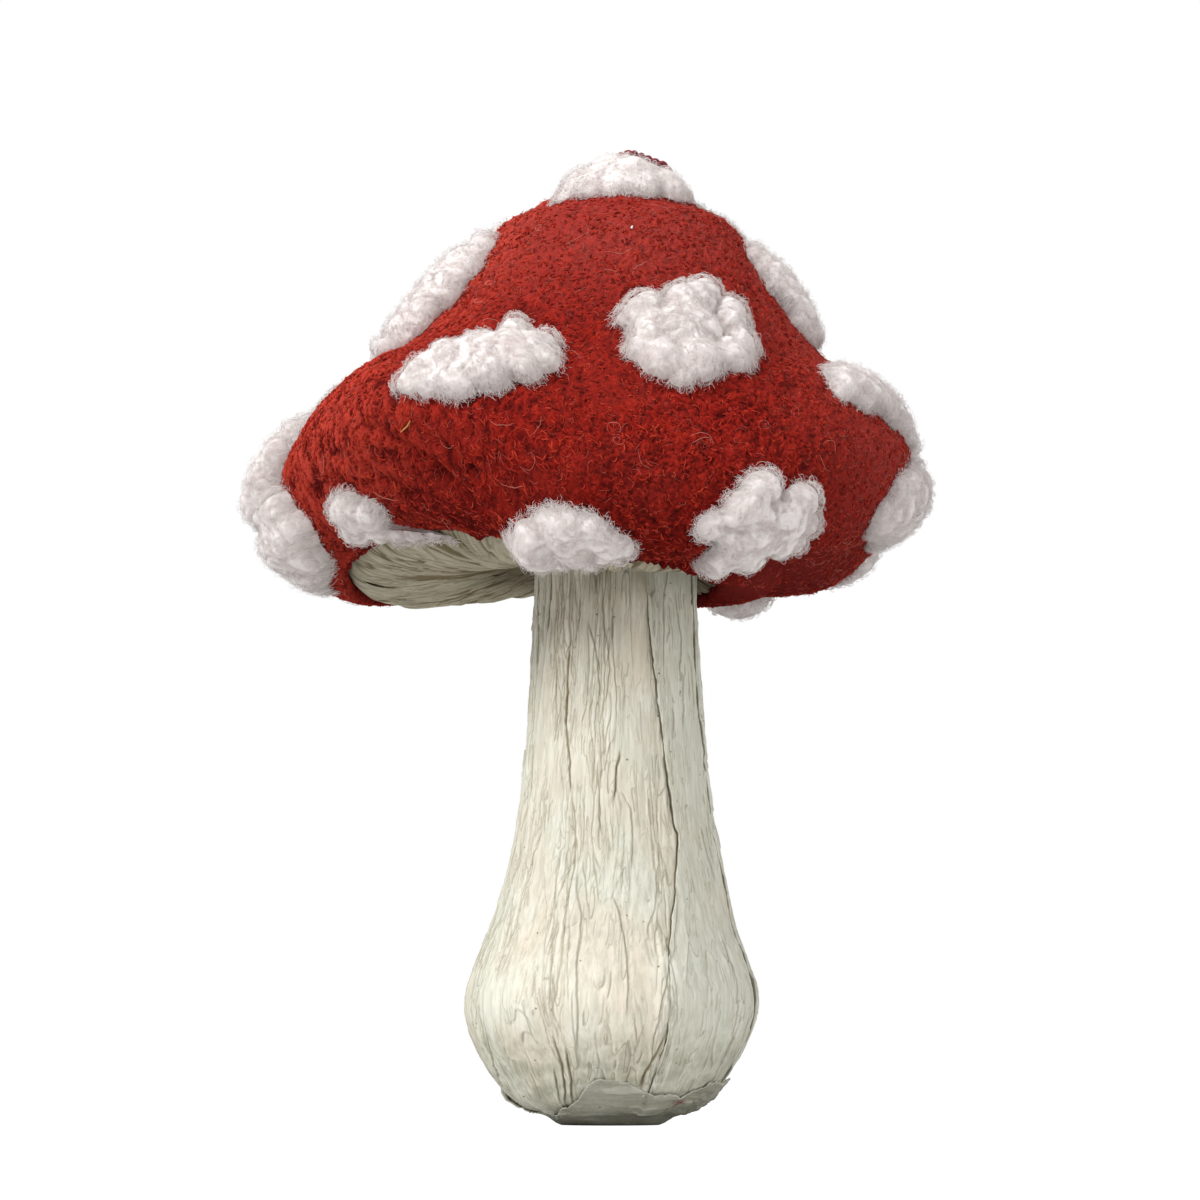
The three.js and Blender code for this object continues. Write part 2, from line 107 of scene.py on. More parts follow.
def lumpNoise(points, size, seed=0):  # round bumps with creases between them, 0 to 1
    return inParts(lumpSlice, points, size, seed)


def xyz(x, y, z):
    return np.stack(np.broadcast_arrays(x, y, z), -1)


def circled(radius, angle, height=0):
    return xyz(radius * np.cos(angle), radius * np.sin(angle), height)


def ease(x, low, high):
    t = np.clip((x - low) / (high - low), 0, 1)
    return t * t * (3 - 2 * t)


def bell(*shares, power=2):  # 1 in the middle, falling off to all sides
    return np.exp(-sum(share**power for share in shares))


def unit(v):
    return v / np.maximum(np.linalg.norm(v, axis=-1, keepdims=True), 1e-12)


def turnedBy(angle, degrees):  # angle from a direction given in degrees, at most half a turn either way
    off = angle - np.radians(degrees)
    return np.arctan2(np.sin(off), np.cos(off))


def widthsFrom(angle, degrees, width):  # the same in widths, also given in degrees
    return turnedBy(angle, degrees) / math.radians(width)


def addObject(name, data):
    added = bpy.data.objects.new(name, data)
    bpy.context.scene.collection.objects.link(added)
    return added


def buildPiece(name, points, faces, finish, values=None, normals=None):
    mesh = bpy.data.meshes.new(name)
    faces = np.asarray(faces, np.int32)
    mesh.vertices.add(len(points))
    mesh.vertices.foreach_set("co", (np.asarray(points, float) * mm).astype(np.float32).ravel())
    mesh.loops.add(faces.size)
    mesh.loops.foreach_set("vertex_index", faces.ravel())
    mesh.polygons.add(len(faces))
    mesh.polygons.foreach_set("loop_start", np.arange(len(faces), dtype=np.int32) * faces.shape[1])
    mesh.polygons.foreach_set("use_smooth", np.ones(len(faces), bool))
    mesh.update(calc_edges=True)
    for key, data in (values or {}).items():
        layer = mesh.attributes.new(key, "FLOAT", "POINT")
        layer.data.foreach_set("value", np.asarray(data, np.float32).ravel())
    if normals is not None:
        mesh.normals_split_custom_set_from_vertices(normals.astype(np.float32))
    mesh.materials.append(finish)
    piece = addObject(name, mesh)
    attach(piece, "root")
    return piece


def quads(lines, count, closed):  # corners of the quads between each line of points and the next
    k = np.arange(count if closed else count - 1)
    after = (k + 1) % count
    first = np.asarray(lines)[..., None] * count
    return np.stack([first + k, first + after, first + count + after, first + count + k], -1).reshape(-1, 4)


def gridFaces(rows, columns, closed=False):
    return quads(np.arange(rows - 1), columns, closed)


def fibreMesh(paths, radius):  # paths: fibres x points x 3, drawn as fine three-sided hairs
    count, length, _ = paths.shape
    along = unit(np.gradient(paths, axis=1))
    side = unit(np.cross(along, np.array([0.31, 0.52, 0.8])))  # any way that few fibres follow
    top = np.cross(along, side)
    taper = np.sin(np.pi * np.linspace(0.06, 0.94, length)) ** 0.4
    width = (np.broadcast_to(radius, (count,))[:, None] * taper)[..., None]
    rings = [paths + width * (side * math.cos(a) + top * math.sin(a)) for a in (0, turn / 3, turn * 2 / 3)]
    lines = np.arange(count)[:, None] * length + np.arange(length - 1)
    return np.stack(rings, 2).reshape(-1, 3), quads(lines, 3, True)


# Shapes of the stem and the cap, from the same numbers as the solids

stemShape = {
    "outline": [(11, 1.2), (23.4, 7.4), (32.6, 26), (26.6, 47), (21.7, 70), (18.3, 112), (18.3, 136)],
    "lean": 1.2,
    "leanFrom": 27,
    "leanTo": 60,
    "seams": [-148, -65, -8, 40, 96, 152],
    "slants": [5, 4, -6, 5, -4, 6],
    "lap": 3.0,
    "gap": 0.3,
}

capShape = {
    "base": 126,
    "outline": [(0, 88), (10, 86.52), (20, 80.6), (29.4, 73.6), (49.6, 46.4), (62, 36.2), (72, 19),
                (66.5, 3.2), (54, -1.8), (19.8, -2.8)],
    "crownShift": 2.4,
    "rimShift": -2.6,
    "rimPlace": 0.62,
    "turnPlace": 0.74,
    "wave": (5.5, 3, 20),  # height, count, angle
    "sway": (3.2, 62),  # height of the broad wave, angle of a crest
    "pinches": [(-124, 0.7, 4.5, 13, 0.066), (104, 0.73, 4.5, 22, 0.075), (2, 0.735, 6, 22, 0.08)],
    "lip": (0.83, 0.06, -10),  # place, wave, angle of its furthest reach
    "lining": 2.8,
    "bulge": 4.0,
}

knotSteps = 300  # points from each knot of an outline to the next


def curvePoints(knots, index, share):  # a share of the way from knot to knot on a smooth curve
    a, b, c, d = (knots[np.clip(index + k, 0, len(knots) - 1)] for k in (-1, 0, 1, 2))
    v, w, t = (c - a) / 2, (d - b) / 2, share[:, None]
    return (2 * b - 2 * c + v + w) * t**3 + (-3 * b + 3 * c - 2 * v - w) * t**2 + v * t + b


def runAlong(curve):
    return np.concatenate([[0], np.cumsum(np.linalg.norm(np.diff(curve, axis=0), axis=1))])


def outlineTable(knots):
    knots = np.array(knots, float)
    last = len(knots) - 1
    shares = np.linspace(0, 1, knotSteps, endpoint=False)
    curve = curvePoints(knots, np.repeat(np.arange(last), knotSteps), np.tile(shares, last))
    curve = np.vstack([curve, knots[-1:]])
    run = runAlong(curve)
    tangent = unit(np.gradient(curve, axis=0))
    return {"length": run[-1], "place": run / run[-1], "columns": [*curve.T, *tangent.T]}


def outlineAt(table, place):  # radius and height there, and the outline's own way
    return [np.interp(place, table["place"], column) for column in table["columns"]]


stemTable = outlineTable(stemShape["outline"])
stemLength = stemTable["length"]
capTable = outlineTable(capShape["outline"])
capLength = capTable["length"]


def stemPoint(angle, place, rise=0.0):
    radius, height, tx, ty = outlineAt(stemTable, place)
    radius, height = radius + ty * rise, height - tx * rise
    lean = stemShape["lean"] * ease(height, stemShape["leanFrom"], stemShape["leanTo"])
    return xyz(lean + radius * np.cos(angle), radius * np.sin(angle), height)


def capPoint(angle, place, rise=0.0):
    angle, place, rise = np.broadcast_arrays(np.asarray(angle, float), np.asarray(place, float), rise)
    toRim = ease(place, 0, capShape["rimPlace"])
    toNeck = ease(place, capShape["rimPlace"], 1)
    centre = capShape["crownShift"] + (capShape["rimShift"] - capShape["crownShift"]) * toRim
    centre = centre + (stemShape["lean"] - centre) * toNeck
    height, count, start = capShape["wave"]
    sway, crest = capShape["sway"]
    waving = ease(place, capShape["rimPlace"] / 2, capShape["rimPlace"]) * (1 - toNeck)
    wave = height * np.cos(count * (angle + math.radians(start)))
    wave = waving * (wave + sway * np.cos(2 * (angle - math.radians(crest))))
    pressed = 0
    for at, where, depth, width, length in capShape["pinches"]:
        pressed = pressed + depth * bell(widthsFrom(angle, at, width), (place - where) / length)
    radius, up, tx, ty = outlineAt(capTable, place)
    radius, up = radius + ty * (pressed - rise), up - tx * (pressed - rise)
    return xyz(centre + radius * np.cos(angle), radius * np.sin(angle), up + wave + capShape["base"])


def lipPlace(angle):
    middle, wave, start = capShape["lip"]
    return middle + wave * np.cos(angle - math.radians(start))


def underPlace(angle, stage):  # stage 0 is the turn, 1 the end of the felt lip and 2 the neck
    lip = lipPlace(angle)
    turnAt = capShape["turnPlace"]
    return np.where(stage < 1, turnAt + (lip - turnAt) * stage, lip + (1 - lip) * (stage - 1))


def bulgeAt(share):  # how far the lining stands out, from the felt lip at 0 to the neck at 1
    return capShape["bulge"] * np.sin(math.pi * np.clip(share, 0, 1) ** 0.7)


# Shader nodes

white = (1, 1, 1)


def feed(net, socket, value):  # value is a number, a colour or another node's socket
    if hasattr(value, "links"):
        net.links.new(value, socket)
    else:
        socket.default_value = (*value, 1) if isinstance(value, tuple) else value


def addNode(net, kind, inputs=None, **settings):
    node = net.nodes.new("ShaderNode" + kind)
    for key, value in settings.items():
        setattr(node, key, value)
    for key, value in (inputs or {}).items():
        feed(net, node.inputs[key], value)
    return node


def newMaterial(name, roughness, shine=0.5):
    finish = bpy.data.materials.new(name)
    finish.use_nodes = True
    bsdf = finish.node_tree.nodes["Principled BSDF"]
    bsdf.inputs["Roughness"].default_value = roughness
    bsdf.inputs["Specular IOR Level"].default_value = shine
    return finish, finish.node_tree, bsdf


def mixColours(net, factor, first, second, blend="MIX"):
    mix = addNode(net, "Mix", {"Factor": factor, 6: first, 7: second}, data_type="RGBA", blend_type=blend)
    return mix.outputs[2]


def rampValues(net, value, low, high, outLow=0.0, outHigh=1.0):
    ends = {"Value": value, "From Min": low, "From Max": high, "To Min": outLow, "To Max": outHigh}
    return addNode(net, "MapRange", ends).outputs["Result"]


def reckon(net, operation, first, second):
    return addNode(net, "Math", {0: first, 1: second}, operation=operation).outputs[0]


# colour under layers, each given as where it shows, the range of that, its colour and its blend
def layColours(net, bsdf, colour, layers):
    for share, span, over, *blend in layers:
        if isinstance(share, str):
            share = addNode(net, "Attribute", attribute_name=share).outputs["Fac"]
        colour = mixColours(net, rampValues(net, share, *span) if span else share, colour, over, *blend)
    feed(net, bsdf.inputs["Base Color"], colour)


def bumpFrom(net, bsdf, height, strength, distance):
    bump = addNode(net, "Bump", {"Strength": strength, "Distance": distance * mm, "Height": height})
    feed(net, bsdf.inputs["Normal"], bump.outputs[0])


def newGroup(name, inputs, outputs):  # all its sockets are numbers
    group = bpy.data.node_groups.new(name, "ShaderNodeTree")
    for label, value in inputs.items():
        socket = group.interface.new_socket(name=label, in_out="INPUT", socket_type="NodeSocketFloat")
        socket.default_value = value
    for label in outputs:
        group.interface.new_socket(name=label, in_out="OUTPUT", socket_type="NodeSocketFloat")
    given, made = group.nodes.new("NodeGroupInput"), group.nodes.new("NodeGroupOutput")
    return group, given.outputs, made.inputs, addNode(group, "TexCoord").outputs["Object"]


def placeGroup(net, group, **values):
    return addNode(net, "Group", values, node_tree=group).outputs


def mottleGroup():  # soft patches of tone, and a finer grain
    group, given, made, where = newGroup("mottle", {"Size": 60.0, "Grain": 900.0}, ["Patches", "Grain"])
    for label, output in (("Size", "Patches"), ("Grain", "Grain")):
        noise = {"Vector": where, "Scale": given[label], "Detail": 4, "Roughness": 0.6}
        feed(group, made[output], addNode(group, "TexNoise", noise).outputs["Fac"])
    return group


def streakGroup():  # long fine lines down the bark
    group, given, made, where = newGroup("streaks", {"Scale": 400.0, "Stretch": 0.06}, ["Lines", "Height"])
    squeeze = addNode(group, "CombineXYZ", {0: 1, 1: 1, 2: given["Stretch"]}).outputs[0]
    drawn = addNode(group, "VectorMath", {0: where, 1: squeeze}, operation="MULTIPLY").outputs[0]
    noise = {"Vector": drawn, "Scale": given["Scale"], "Detail": 6, "Roughness": 0.68}
    height = addNode(group, "TexNoise", noise).outputs["Fac"]
    feed(group, made["Height"], height)
    feed(group, made["Lines"], rampValues(group, height, 0.42, 0.6))
    return group


def specksGroup():  # sparse small dots, 1 on a dot
    group, given, made, where = newGroup("specks", {"Scale": 300.0, "Amount": 0.1}, ["Mask"])
    cells = addNode(group, "TexVoronoi", {"Vector": where, "Scale": given["Scale"]}).outputs
    dot = rampValues(group, cells["Distance"], 0.09, 0.05)
    split = addNode(group, "SeparateColor", {0: cells["Color"]}).outputs
    chosen = reckon(group, "LESS_THAN", split[0], given["Amount"])
    feed(group, made["Mask"], reckon(group, "MULTIPLY", dot, chosen))
    return group


mottle, streaks, specks = mottleGroup(), streakGroup(), specksGroup()

# Camera, floor and light

studio = {
    "sky": 0.39,
    "lamps": {  # power, size and place
        "keyLight": (10.0, 0.45, (-0.8, -0.62, 0.8)),
        "fillLight": (3.4, 0.9, (0.8, -0.7, 0.35)),
        "topLight": (6.6, 0.7, (-0.15, -0.4, 1.2)),
    },
    "lampsAim": (0, 0, 0.11),
    "floor": (0.7, 0.7, 0.7),
    "floorGlow": 1.08,
    "floorShow": 0.92,  # share of the glow in what the camera sees of the floor
    "floorReach": 6,
    "cameraPlace": (-0.001, -1.0, 0.017),
    "cameraAim": (-0.0023, 0, 0.118),
    "lens": 133.2,
}


def addAimed(name, data, place, target):
    added = addObject(name, data)
    added.location = place
    added.rotation_euler = (Vector(target) - added.location).to_track_quat("-Z", "Y").to_euler()
    return added


def makeCamera():
    camera = bpy.data.cameras.new("camera")
    camera.lens, camera.sensor_width = studio["lens"], 36
    camera.clip_start, camera.clip_end = 0.05, 20
    bpy.context.scene.camera = addAimed("camera", camera, studio["cameraPlace"], studio["cameraAim"])


def makeSky():  # plain white to look at, softer as light
    world = bpy.data.worlds.new("studio")
    bpy.context.scene.world = world
    world.use_nodes = True
    net = world.node_tree
    lit = net.nodes["Background"]
    feed(net, lit.inputs["Color"], white)
    feed(net, lit.inputs["Strength"], studio["sky"])
    seen = addNode(net, "Background", {"Color": white, "Strength": 1})
    rays = addNode(net, "LightPath").outputs
    looking = reckon(net, "MAXIMUM", rays["Is Camera Ray"], rays["Is Transmission Ray"])
    looking = reckon(net, "MAXIMUM", looking, rays["Is Glossy Ray"])
    mix = addNode(net, "MixShader", {0: looking, 1: lit.outputs[0], 2: seen.outputs[0]})
    feed(net, net.nodes["World Output"].inputs["Surface"], mix.outputs[0])


def makeFloor():
    finish, net, bsdf = newMaterial("paleFloor", 0.9)
    feed(net, bsdf.inputs["Base Color"], studio["floor"])
    glow = addNode(net, "Emission", {"Strength": studio["floorGlow"]})
    share = reckon(net, "MULTIPLY", addNode(net, "LightPath").outputs["Is Camera Ray"], studio["floorShow"])
    mix = addNode(net, "MixShader", {0: share, 1: bsdf.outputs[0], 2: glow.outputs[0]})
    feed(net, net.nodes["Material Output"].inputs["Surface"], mix.outputs[0])
    mesh = bpy.data.meshes.new("floor")
    r = studio["floorReach"]
    mesh.from_pydata([(-r, -r, 0), (r, -r, 0), (r, r, 0), (-r, r, 0)], [], [(0, 1, 2, 3)])
    mesh.materials.append(finish)
    floor = addObject("floor", mesh)


makeCamera()
makeSky()
makeFloor()
for name, (power, size, place) in studio["lamps"].items():
    lamp = bpy.data.lights.new(name, "AREA")
    lamp.energy, lamp.size, lamp.shape = power, size, "DISK"
    addAimed(name, lamp, place, studio["lampsAim"])
bpy.context.scene.view_settings.view_transform = "Standard"
print("studio ready")

# Red felt cover

feltLook = {
    "spacing": 0.38,  # between points of the mesh
    "thick": 2.5,
    "nub": 1.15,
    "nubHeight": 1.15,
    "nubMiddle": 0.7,  # level of the nubs at the cap's own skin
    "shares": (0.6, 0.3, 0.16),  # of the nubs, the thin ridges and the rolling in the wool's height
    "swells": [(0.5, 17, 12), (0.22, 6, 14)],  # height, size and seed of the broad waves
    "evenLevel": 0.78,  # level that a smoothed fibre keeps to
    "rows": {"lip": 58, "edge": 7, "back": 6},  # lines of points on the turned-in lip
    # colours by the wool's height: the pit and deep colours, low between the nubs, are painted shade in the
    # pits; the bright colour on the nub tops is partly brighter wool, partly painted highlight
    "pitShade": (0.030, 0.002, 0.002),
    "deep": (0.130, 0.007, 0.005),
    "body": (0.265, 0.012, 0.007),
    "bright": (0.44, 0.030, 0.014),
    "patch": (0.30, 0.026, 0.019),
    "under": (0.48, 0.38, 0.38),  # painted shade on the lower cap and under its rim; multiplies the colour under it
    # painted light: brighter nub tops on the left, the side towards the key light
    "left": (0.54, 0.066, 0.042),
    "rose": (0.42, 0.058, 0.047),  # hazier wool and painted sheen, at the top and on the right
    "strokes": (-136, 46, 0.6, 0.2),  # middle and width in degrees, middle and length down the slope
    "cuts": [0.33, 0.5, 0.63],  # where one mesh ends and the next begins
    "squareShare": 0.7,
    "reach": (8, 63, 0.085),  # further in over the lining: middle and width in degrees, and how far
    "sag": (-105, 6, 0.755, 0.045, 4.2),  # beside the front tuft: middle, width, place, length and drop
    "creaseLength": 0.045,
    "creaseSlant": (9, 0.05),  # degrees round the cap in such a share of the way down
    "creases": [  # angle, place, width in degrees and depth
        (-129, 0.655, 2.0, 1.2), (-122, 0.685, 1.7, 1.7), (-114, 0.675, 1.8, 1.5), (-107, 0.70, 1.5, 1.1),
        (-135, 0.70, 1.7, 0.9), (-118, 0.72, 1.5, 1.2), (-101, 0.71, 1.6, 0.7),
    ],
}


def feltMaterial():
    finish, net, bsdf = newMaterial("redFelt", 1, 0.05)
    tone = placeGroup(net, mottle, Size=70.0, Grain=2100.0)
    # painted shade in the pits and partly painted highlight on the nub tops, by the wool's height
    layColours(net, bsdf, feltLook["pitShade"], [
        ("height", (0.18, 0.42), feltLook["deep"]),
        ("height", (0.42, 0.64), feltLook["body"]),
        ("height", (0.66, 0.95, 0, 0.85), feltLook["bright"]),
        # hazier wool and painted sheen at the top and on the right
        ("hazeAndSheen", (0, 1, 0, 0.7), feltLook["rose"]),
        (tone["Grain"], (0.38, 0.62, 0, 0.45), feltLook["deep"]),
        (tone["Patches"], (0.4, 0.65, 0, 0.3), feltLook["patch"]),
        # painted light on the left side's nub tops
        ("left", (0, 1, 0, 0.7), feltLook["left"]),
        # painted shade on the lower cap and under its rim
        ("under", None, feltLook["under"], "MULTIPLY"),
    ])
    bumpFrom(net, bsdf, tone["Grain"], 0.8, 0.3)
    return finish


def strokeShare(angle, place):  # 1 where the knit's columns show as strokes down the slope
    at, width, middle, length = feltLook["strokes"]
    return bell(widthsFrom(angle, at, width), (place - middle) / length, power=4)


def hazeAndSheenShare(angle, place):  # 1 where the wool is hazier and has painted sheen: at the top and on the right
    return np.maximum(bell(widthsFrom(angle, -5, 38), power=4), 0.8 * (1 - ease(place, 0.22, 0.42)))


def litLeftShare(angle):  # 1 on the left, where painted light brightens the wool on the side towards the key light
    return bell(widthsFrom(angle, -168, 38), power=4)


def feltHeight(points, angle, place):  # nubs of the boiled wool, 0 in the pits to about 1
    small = softNoise(points, 0.9, 8)
    warp = softNoise(points, 5, 3)[..., None] * 1.5 + 0.28 * small[..., None]
    nubs = lumpNoise(points + warp, feltLook["nub"], 5)
    slope = circled(62, angle, place * capLength * 0.24)
    strokes = lumpNoise(slope + warp * 0.5, feltLook["nub"] * 1.05, 6)
    share = strokeShare(angle, place)
    nubs = nubs * (1 - share) + strokes * share
    ridges = 1 - np.clip(np.abs(small) * 3.2, 0, 1)
    parts = (nubs, ridges, softNoise(points, 3.4, 9))
    return np.clip(sum(share * part for share, part in zip(feltLook["shares"], parts)), 0, 1.15)


def feltEnd(angle):
    at, width, reach = feltLook["reach"]
    return lipPlace(angle) + reach * bell(widthsFrom(angle, at, width), power=4)


def feltSag(angle, place):
    at, width, where, length, drop = feltLook["sag"]
    return drop * bell(np.degrees(turnedBy(angle, at)) / width, (place - where) / length)


def feltPoints(angle, place, rise=0.0, lift=0.0, smooth=0.0):
    base = capPoint(angle, place, rise)
    height = feltHeight(base, angle, place)
    out = unit(capPoint(angle, place, rise + 0.5) - base)
    swell = sum(height * softNoise(base, size, seed) for height, size, seed in feltLook["swells"])
    creases = -feltSag(angle, place)
    slant, way = feltLook["creaseSlant"]
    for at, where, width, depth in feltLook["creases"]:
        across = np.degrees(turnedBy(angle, at + slant * (place - where) / way))
        creases = creases + depth * bell(across / width, (place - where) / feltLook["creaseLength"])
    lip = lipPlace(angle)
    swell = swell * (1 - 0.6 * ease(place, 0.76, 0.86)) + bulgeAt((place - lip) / (1 - lip))
    level = height * (1 - smooth) + feltLook["evenLevel"] * smooth
    move = feltLook["nubHeight"] * (level - feltLook["nubMiddle"]) + swell - creases + lift
    return base + out * np.asarray(move)[..., None], height


def stitchRings(countA, startA, countB, startB):  # triangles between two closed rings of any counts
    ends = np.concatenate([(np.arange(countA) + 1) / countA, (np.arange(countB) + 1) / countB])
    order = np.argsort(ends, kind="stable")
    fromA = order < countA
    a, b = np.cumsum(fromA) - fromA, np.cumsum(~fromA) - ~fromA
    third = np.where(fromA, startA + (a + 1) % countA, startB + (b + 1) % countB)
    return np.stack([startA + a % countA, third, startB + b % countB], -1)


def faceWays(points, faces):  # a vector at right angles to each triangle, twice its area long
    a, b, c = (points[faces[:, k]] for k in range(3))
    return np.cross(b - a, c - a)


def feltRing(kind, s):  # angles, places and rises of one ring of points
    radius = outlineAt(capTable, s if kind == "top" else 0.8)[0]
    count = 1 if kind == "top" and s == 0 else max(12, int(turn * radius / feltLook["spacing"]))
    angle = np.arange(count) * turn / count
    rim = circled(55, angle)
    end = feltEnd(angle) + (softNoise(rim, 6, 21) * 1.2 + softNoise(rim, 1.6, 22) * 0.8) / capLength
    turnAt, thick = capShape["turnPlace"], feltLook["thick"]
    place, rise = {
        "top": (np.full(count, s), 0.0),
        "lip": (turnAt + (end - turnAt) * s, 0.0),
        "edge": (end + 0.5 / capLength * math.sin(math.pi * s), -thick * s),
        "back": (end - s * 4 / capLength, -thick),
    }[kind]
    return angle, place, np.full(count, rise)


def makeFelt(finish):
    turnAt = capShape["turnPlace"]
    over = np.linspace(0, turnAt, int(turnAt * capLength / (feltLook["spacing"] * 0.95)))
    rows = [("top", s) for s in over]
    for kind, count in feltLook["rows"].items():
        rows += [(kind, s) for s in np.linspace(0, 1, count)[1:]]
    rings = [feltRing(kind, s) for kind, s in rows]
    counts = [len(ring[0]) for ring in rings]
    starts = np.concatenate([[0], np.cumsum(counts)])
    angle, place, rise = (np.concatenate(column) for column in zip(*rings))
    points, height = feltPoints(angle, place, rise)
    even = capPoint(angle, place, rise)
    ends = list(zip(counts, starts))
    faces = np.vstack([stitchRings(*first, *second) for first, second in zip(ends, ends[1:])])
    a, b, c = faces.T
    faces = faces[(a != b) & (b != c) & (a != c)]
    flat = faceWays(points, faces)
    normals = np.zeros_like(points)
    for k in range(3):
        np.add.at(normals, faces[:, k], flat)
    if unit(normals)[:200, 2].mean() < 0:  # the crown has to face up
        faces, normals = faces[:, ::-1], -normals
    normals = unit(normals)
    faceRing = np.repeat(np.arange(len(rows)), counts)[faces].min(1)
    limits = [0, *np.searchsorted(over, feltLook["cuts"]), len(over) - 1, len(rows)]
    for number, (first, last) in enumerate(zip(limits, limits[1:])):
        own = faces[(faceRing >= first) & (faceRing < last)]
        used, inUsed = np.unique(own, return_inverse=True)
        around, down, level = angle[used], place[used], height[used]
        values = {
            "height": level,
            "hazeAndSheen": hazeAndSheenShare(around, down),
            "left": litLeftShare(around) * ease(level, 0.4, 0.62),
            # painted shade, growing down the lower cap
            "under": ease(down, 0.6, 0.82),
        }
        inUsed = inUsed.reshape(-1, 3)
        piece = buildPiece(f"felt_{number + 1}", points[used], inUsed, finish, values, normals[used])
        area = np.linalg.norm(faceWays(even, own), axis=1).sum() / 2 * mm * mm
        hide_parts("wool_cover")


makeFelt(feltMaterial())
print("felt cover")

# Loose fibres on the felt

# for each kind: fibres, points on each, step, radius, lift and the lowest and highest wool that they lie on
fuzzLook = {
    "bright": {"fibres": (6500, 6, 0.34, 0.18, 0.22), "on": (0.46, 2), "colour": (0.38, 0.025, 0.012)},
    "orange": {"fibres": (2200, 6, 0.34, 0.15, 0.2), "on": (0.52, 2), "colour": (0.46, 0.044, 0.019)},
    "body": {"fibres": (6500, 6, 0.34, 0.2, 0.16), "on": (0.45, 2), "colour": (0.28, 0.014, 0.008)},
    "deep": {"fibres": (4200, 6, 0.34, 0.16, 0.1), "on": (0.2, 0.6), "colour": (0.16, 0.009, 0.006)},
    "rose": {"fibres": (5400, 7, 0.42, 0.05, 0.7), "on": (0, 2), "colour": (0.46, 0.095, 0.075)},
    "fine": {"fibres": (3600, 8, 0.36, 0.05, 0.5), "on": (0, 2), "colour": (0.44, 0.042, 0.026)},
    "pale": {"fibres": (110, 12, 0.55, 0.045, 1.2), "on": (0, 2), "colour": (0.62, 0.24, 0.19)},
}

fuzzWays = {
    "wander": 0.28,  # change of heading from step to step, in radians
    "curl": (0.95, 0.3),  # of a short fibre and of a long one
    "strokeSpread": 0.35,  # headings beside the knit's strokes
    "ends": (0.012, 0.004),  # how far from the felt's end a fibre starts and runs
    "width": (0.65, 0.7),  # the least share of the radius, and how much more
    "smooth": (0.25, 0.8),  # how little a short fibre and a long one follow the nubs
}

straws = {  # stiff scraps caught in the wool: angles and places, radius, lift and colour
    "strawFleck": ([(-124.6, 0.621), (-125.3, 0.629), (-126.9, 0.6373)], 0.2, 0.35, (0.62, 0.34, 0.10)),
    "whiteFleck": ([(-82.8, 0.213), (-83.4, 0.2185)], 0.3, 0.3, (0.85, 0.83, 0.80)),
    "paleScrap": ([(-141.5, 0.709), (-139.6, 0.722), (-138.6, 0.727), (-138.4, 0.7225)],
                  0.11, 0.45, (0.70, 0.45, 0.33)),
}


def plainMaterial(name, colour, roughness=0.95):
    finish, net, bsdf = newMaterial(name, roughness, 0.15)
    feed(net, bsdf.inputs["Base Color"], colour)
    return finish


def feltStarts(random, count):  # even over the felt's area
    place = random.random(count * 3) * 0.93
    radius = outlineAt(capTable, place)[0]
    keep = random.random(count * 3) < radius / 72 * (1 - 0.75 * ease(place, 0.76, 0.84))
    return place[keep][:count]


def makeFuzz(name, look, seed):
    random = np.random.RandomState(seed)
    count, steps, step, width, mostLift = look["fibres"]
    place = feltStarts(random, 3 * count)
    angle = random.random(len(place)) * turn
    startEnd, runEnd = fuzzWays["ends"]
    place = np.minimum(place, feltEnd(angle) - startEnd)
    level = feltHeight(capPoint(angle, place), angle, place)
    kept = (level > look["on"][0]) & (level < look["on"][1])
    if name == "Rose":
        kept &= random.random(len(place)) < 0.2 + 0.8 * hazeAndSheenShare(angle, place)
    place, angle = place[kept][:count], angle[kept][:count]
    count = len(place)
    long = steps > 10
    share = strokeShare(angle, place)
    heading = random.random(count) * turn * (1 - share)
    heading = heading + random.normal(0, fuzzWays["strokeSpread"], count) * share
    curl = random.normal(0, fuzzWays["curl"][long], count) * (1 - 0.75 * share)
    angles, places = [angle], [place]
    for _ in range(steps - 1):
        heading = heading + curl + random.normal(0, fuzzWays["wander"], count)
        radius = np.maximum(outlineAt(capTable, places[-1])[0], 3)
        angles.append(angles[-1] + step * np.sin(heading) / radius)
        down = places[-1] + step * np.cos(heading) / capLength
        places.append(np.clip(down, runEnd, feltEnd(angles[-1]) - runEnd))
    angles, places = np.stack(angles, 1), np.stack(places, 1)
    reach = mostLift * random.random((count, 1)) ** 1.4
    bow = np.clip(np.linspace(0, 1, steps) * (0.7 + 0.5 * random.random((count, 1))), 0, 1)
    lift = reach * np.sin(np.pi * bow) - 0.03
    paths, _ = feltPoints(angles, places, 0.0, lift, fuzzWays["smooth"][long])
    least, more = fuzzWays["width"]
    points, faces = fibreMesh(paths, width * (least + more * random.random(count)))
    piece = buildPiece("feltFibres" + name, points, faces, plainMaterial("fibre" + name, look["colour"]))


def makeStraw(name, spots, radius, lift, colour):
    spots = np.array(spots)
    t = np.linspace(0, len(spots) - 1, 8)
    angles, places = (np.interp(t, np.arange(len(spots)), column) for column in spots.T)
    paths, _ = feltPoints(np.radians(angles), places, 0.0, lift, fuzzWays["smooth"][1])
    points, faces = fibreMesh(paths[None], np.array([radius]))
    piece = buildPiece(name, points, faces, plainMaterial(name, colour, 0.6))


for seed, (key, look) in enumerate(fuzzLook.items()):
    makeFuzz(key.capitalize(), look, 100 + seed)
for name, look in straws.items():
    makeStraw(name, *look)
print("loose red fibres")

# White wool tufts: each is a heap of round lobes, (across, down the slope, radius, height) in millimetres

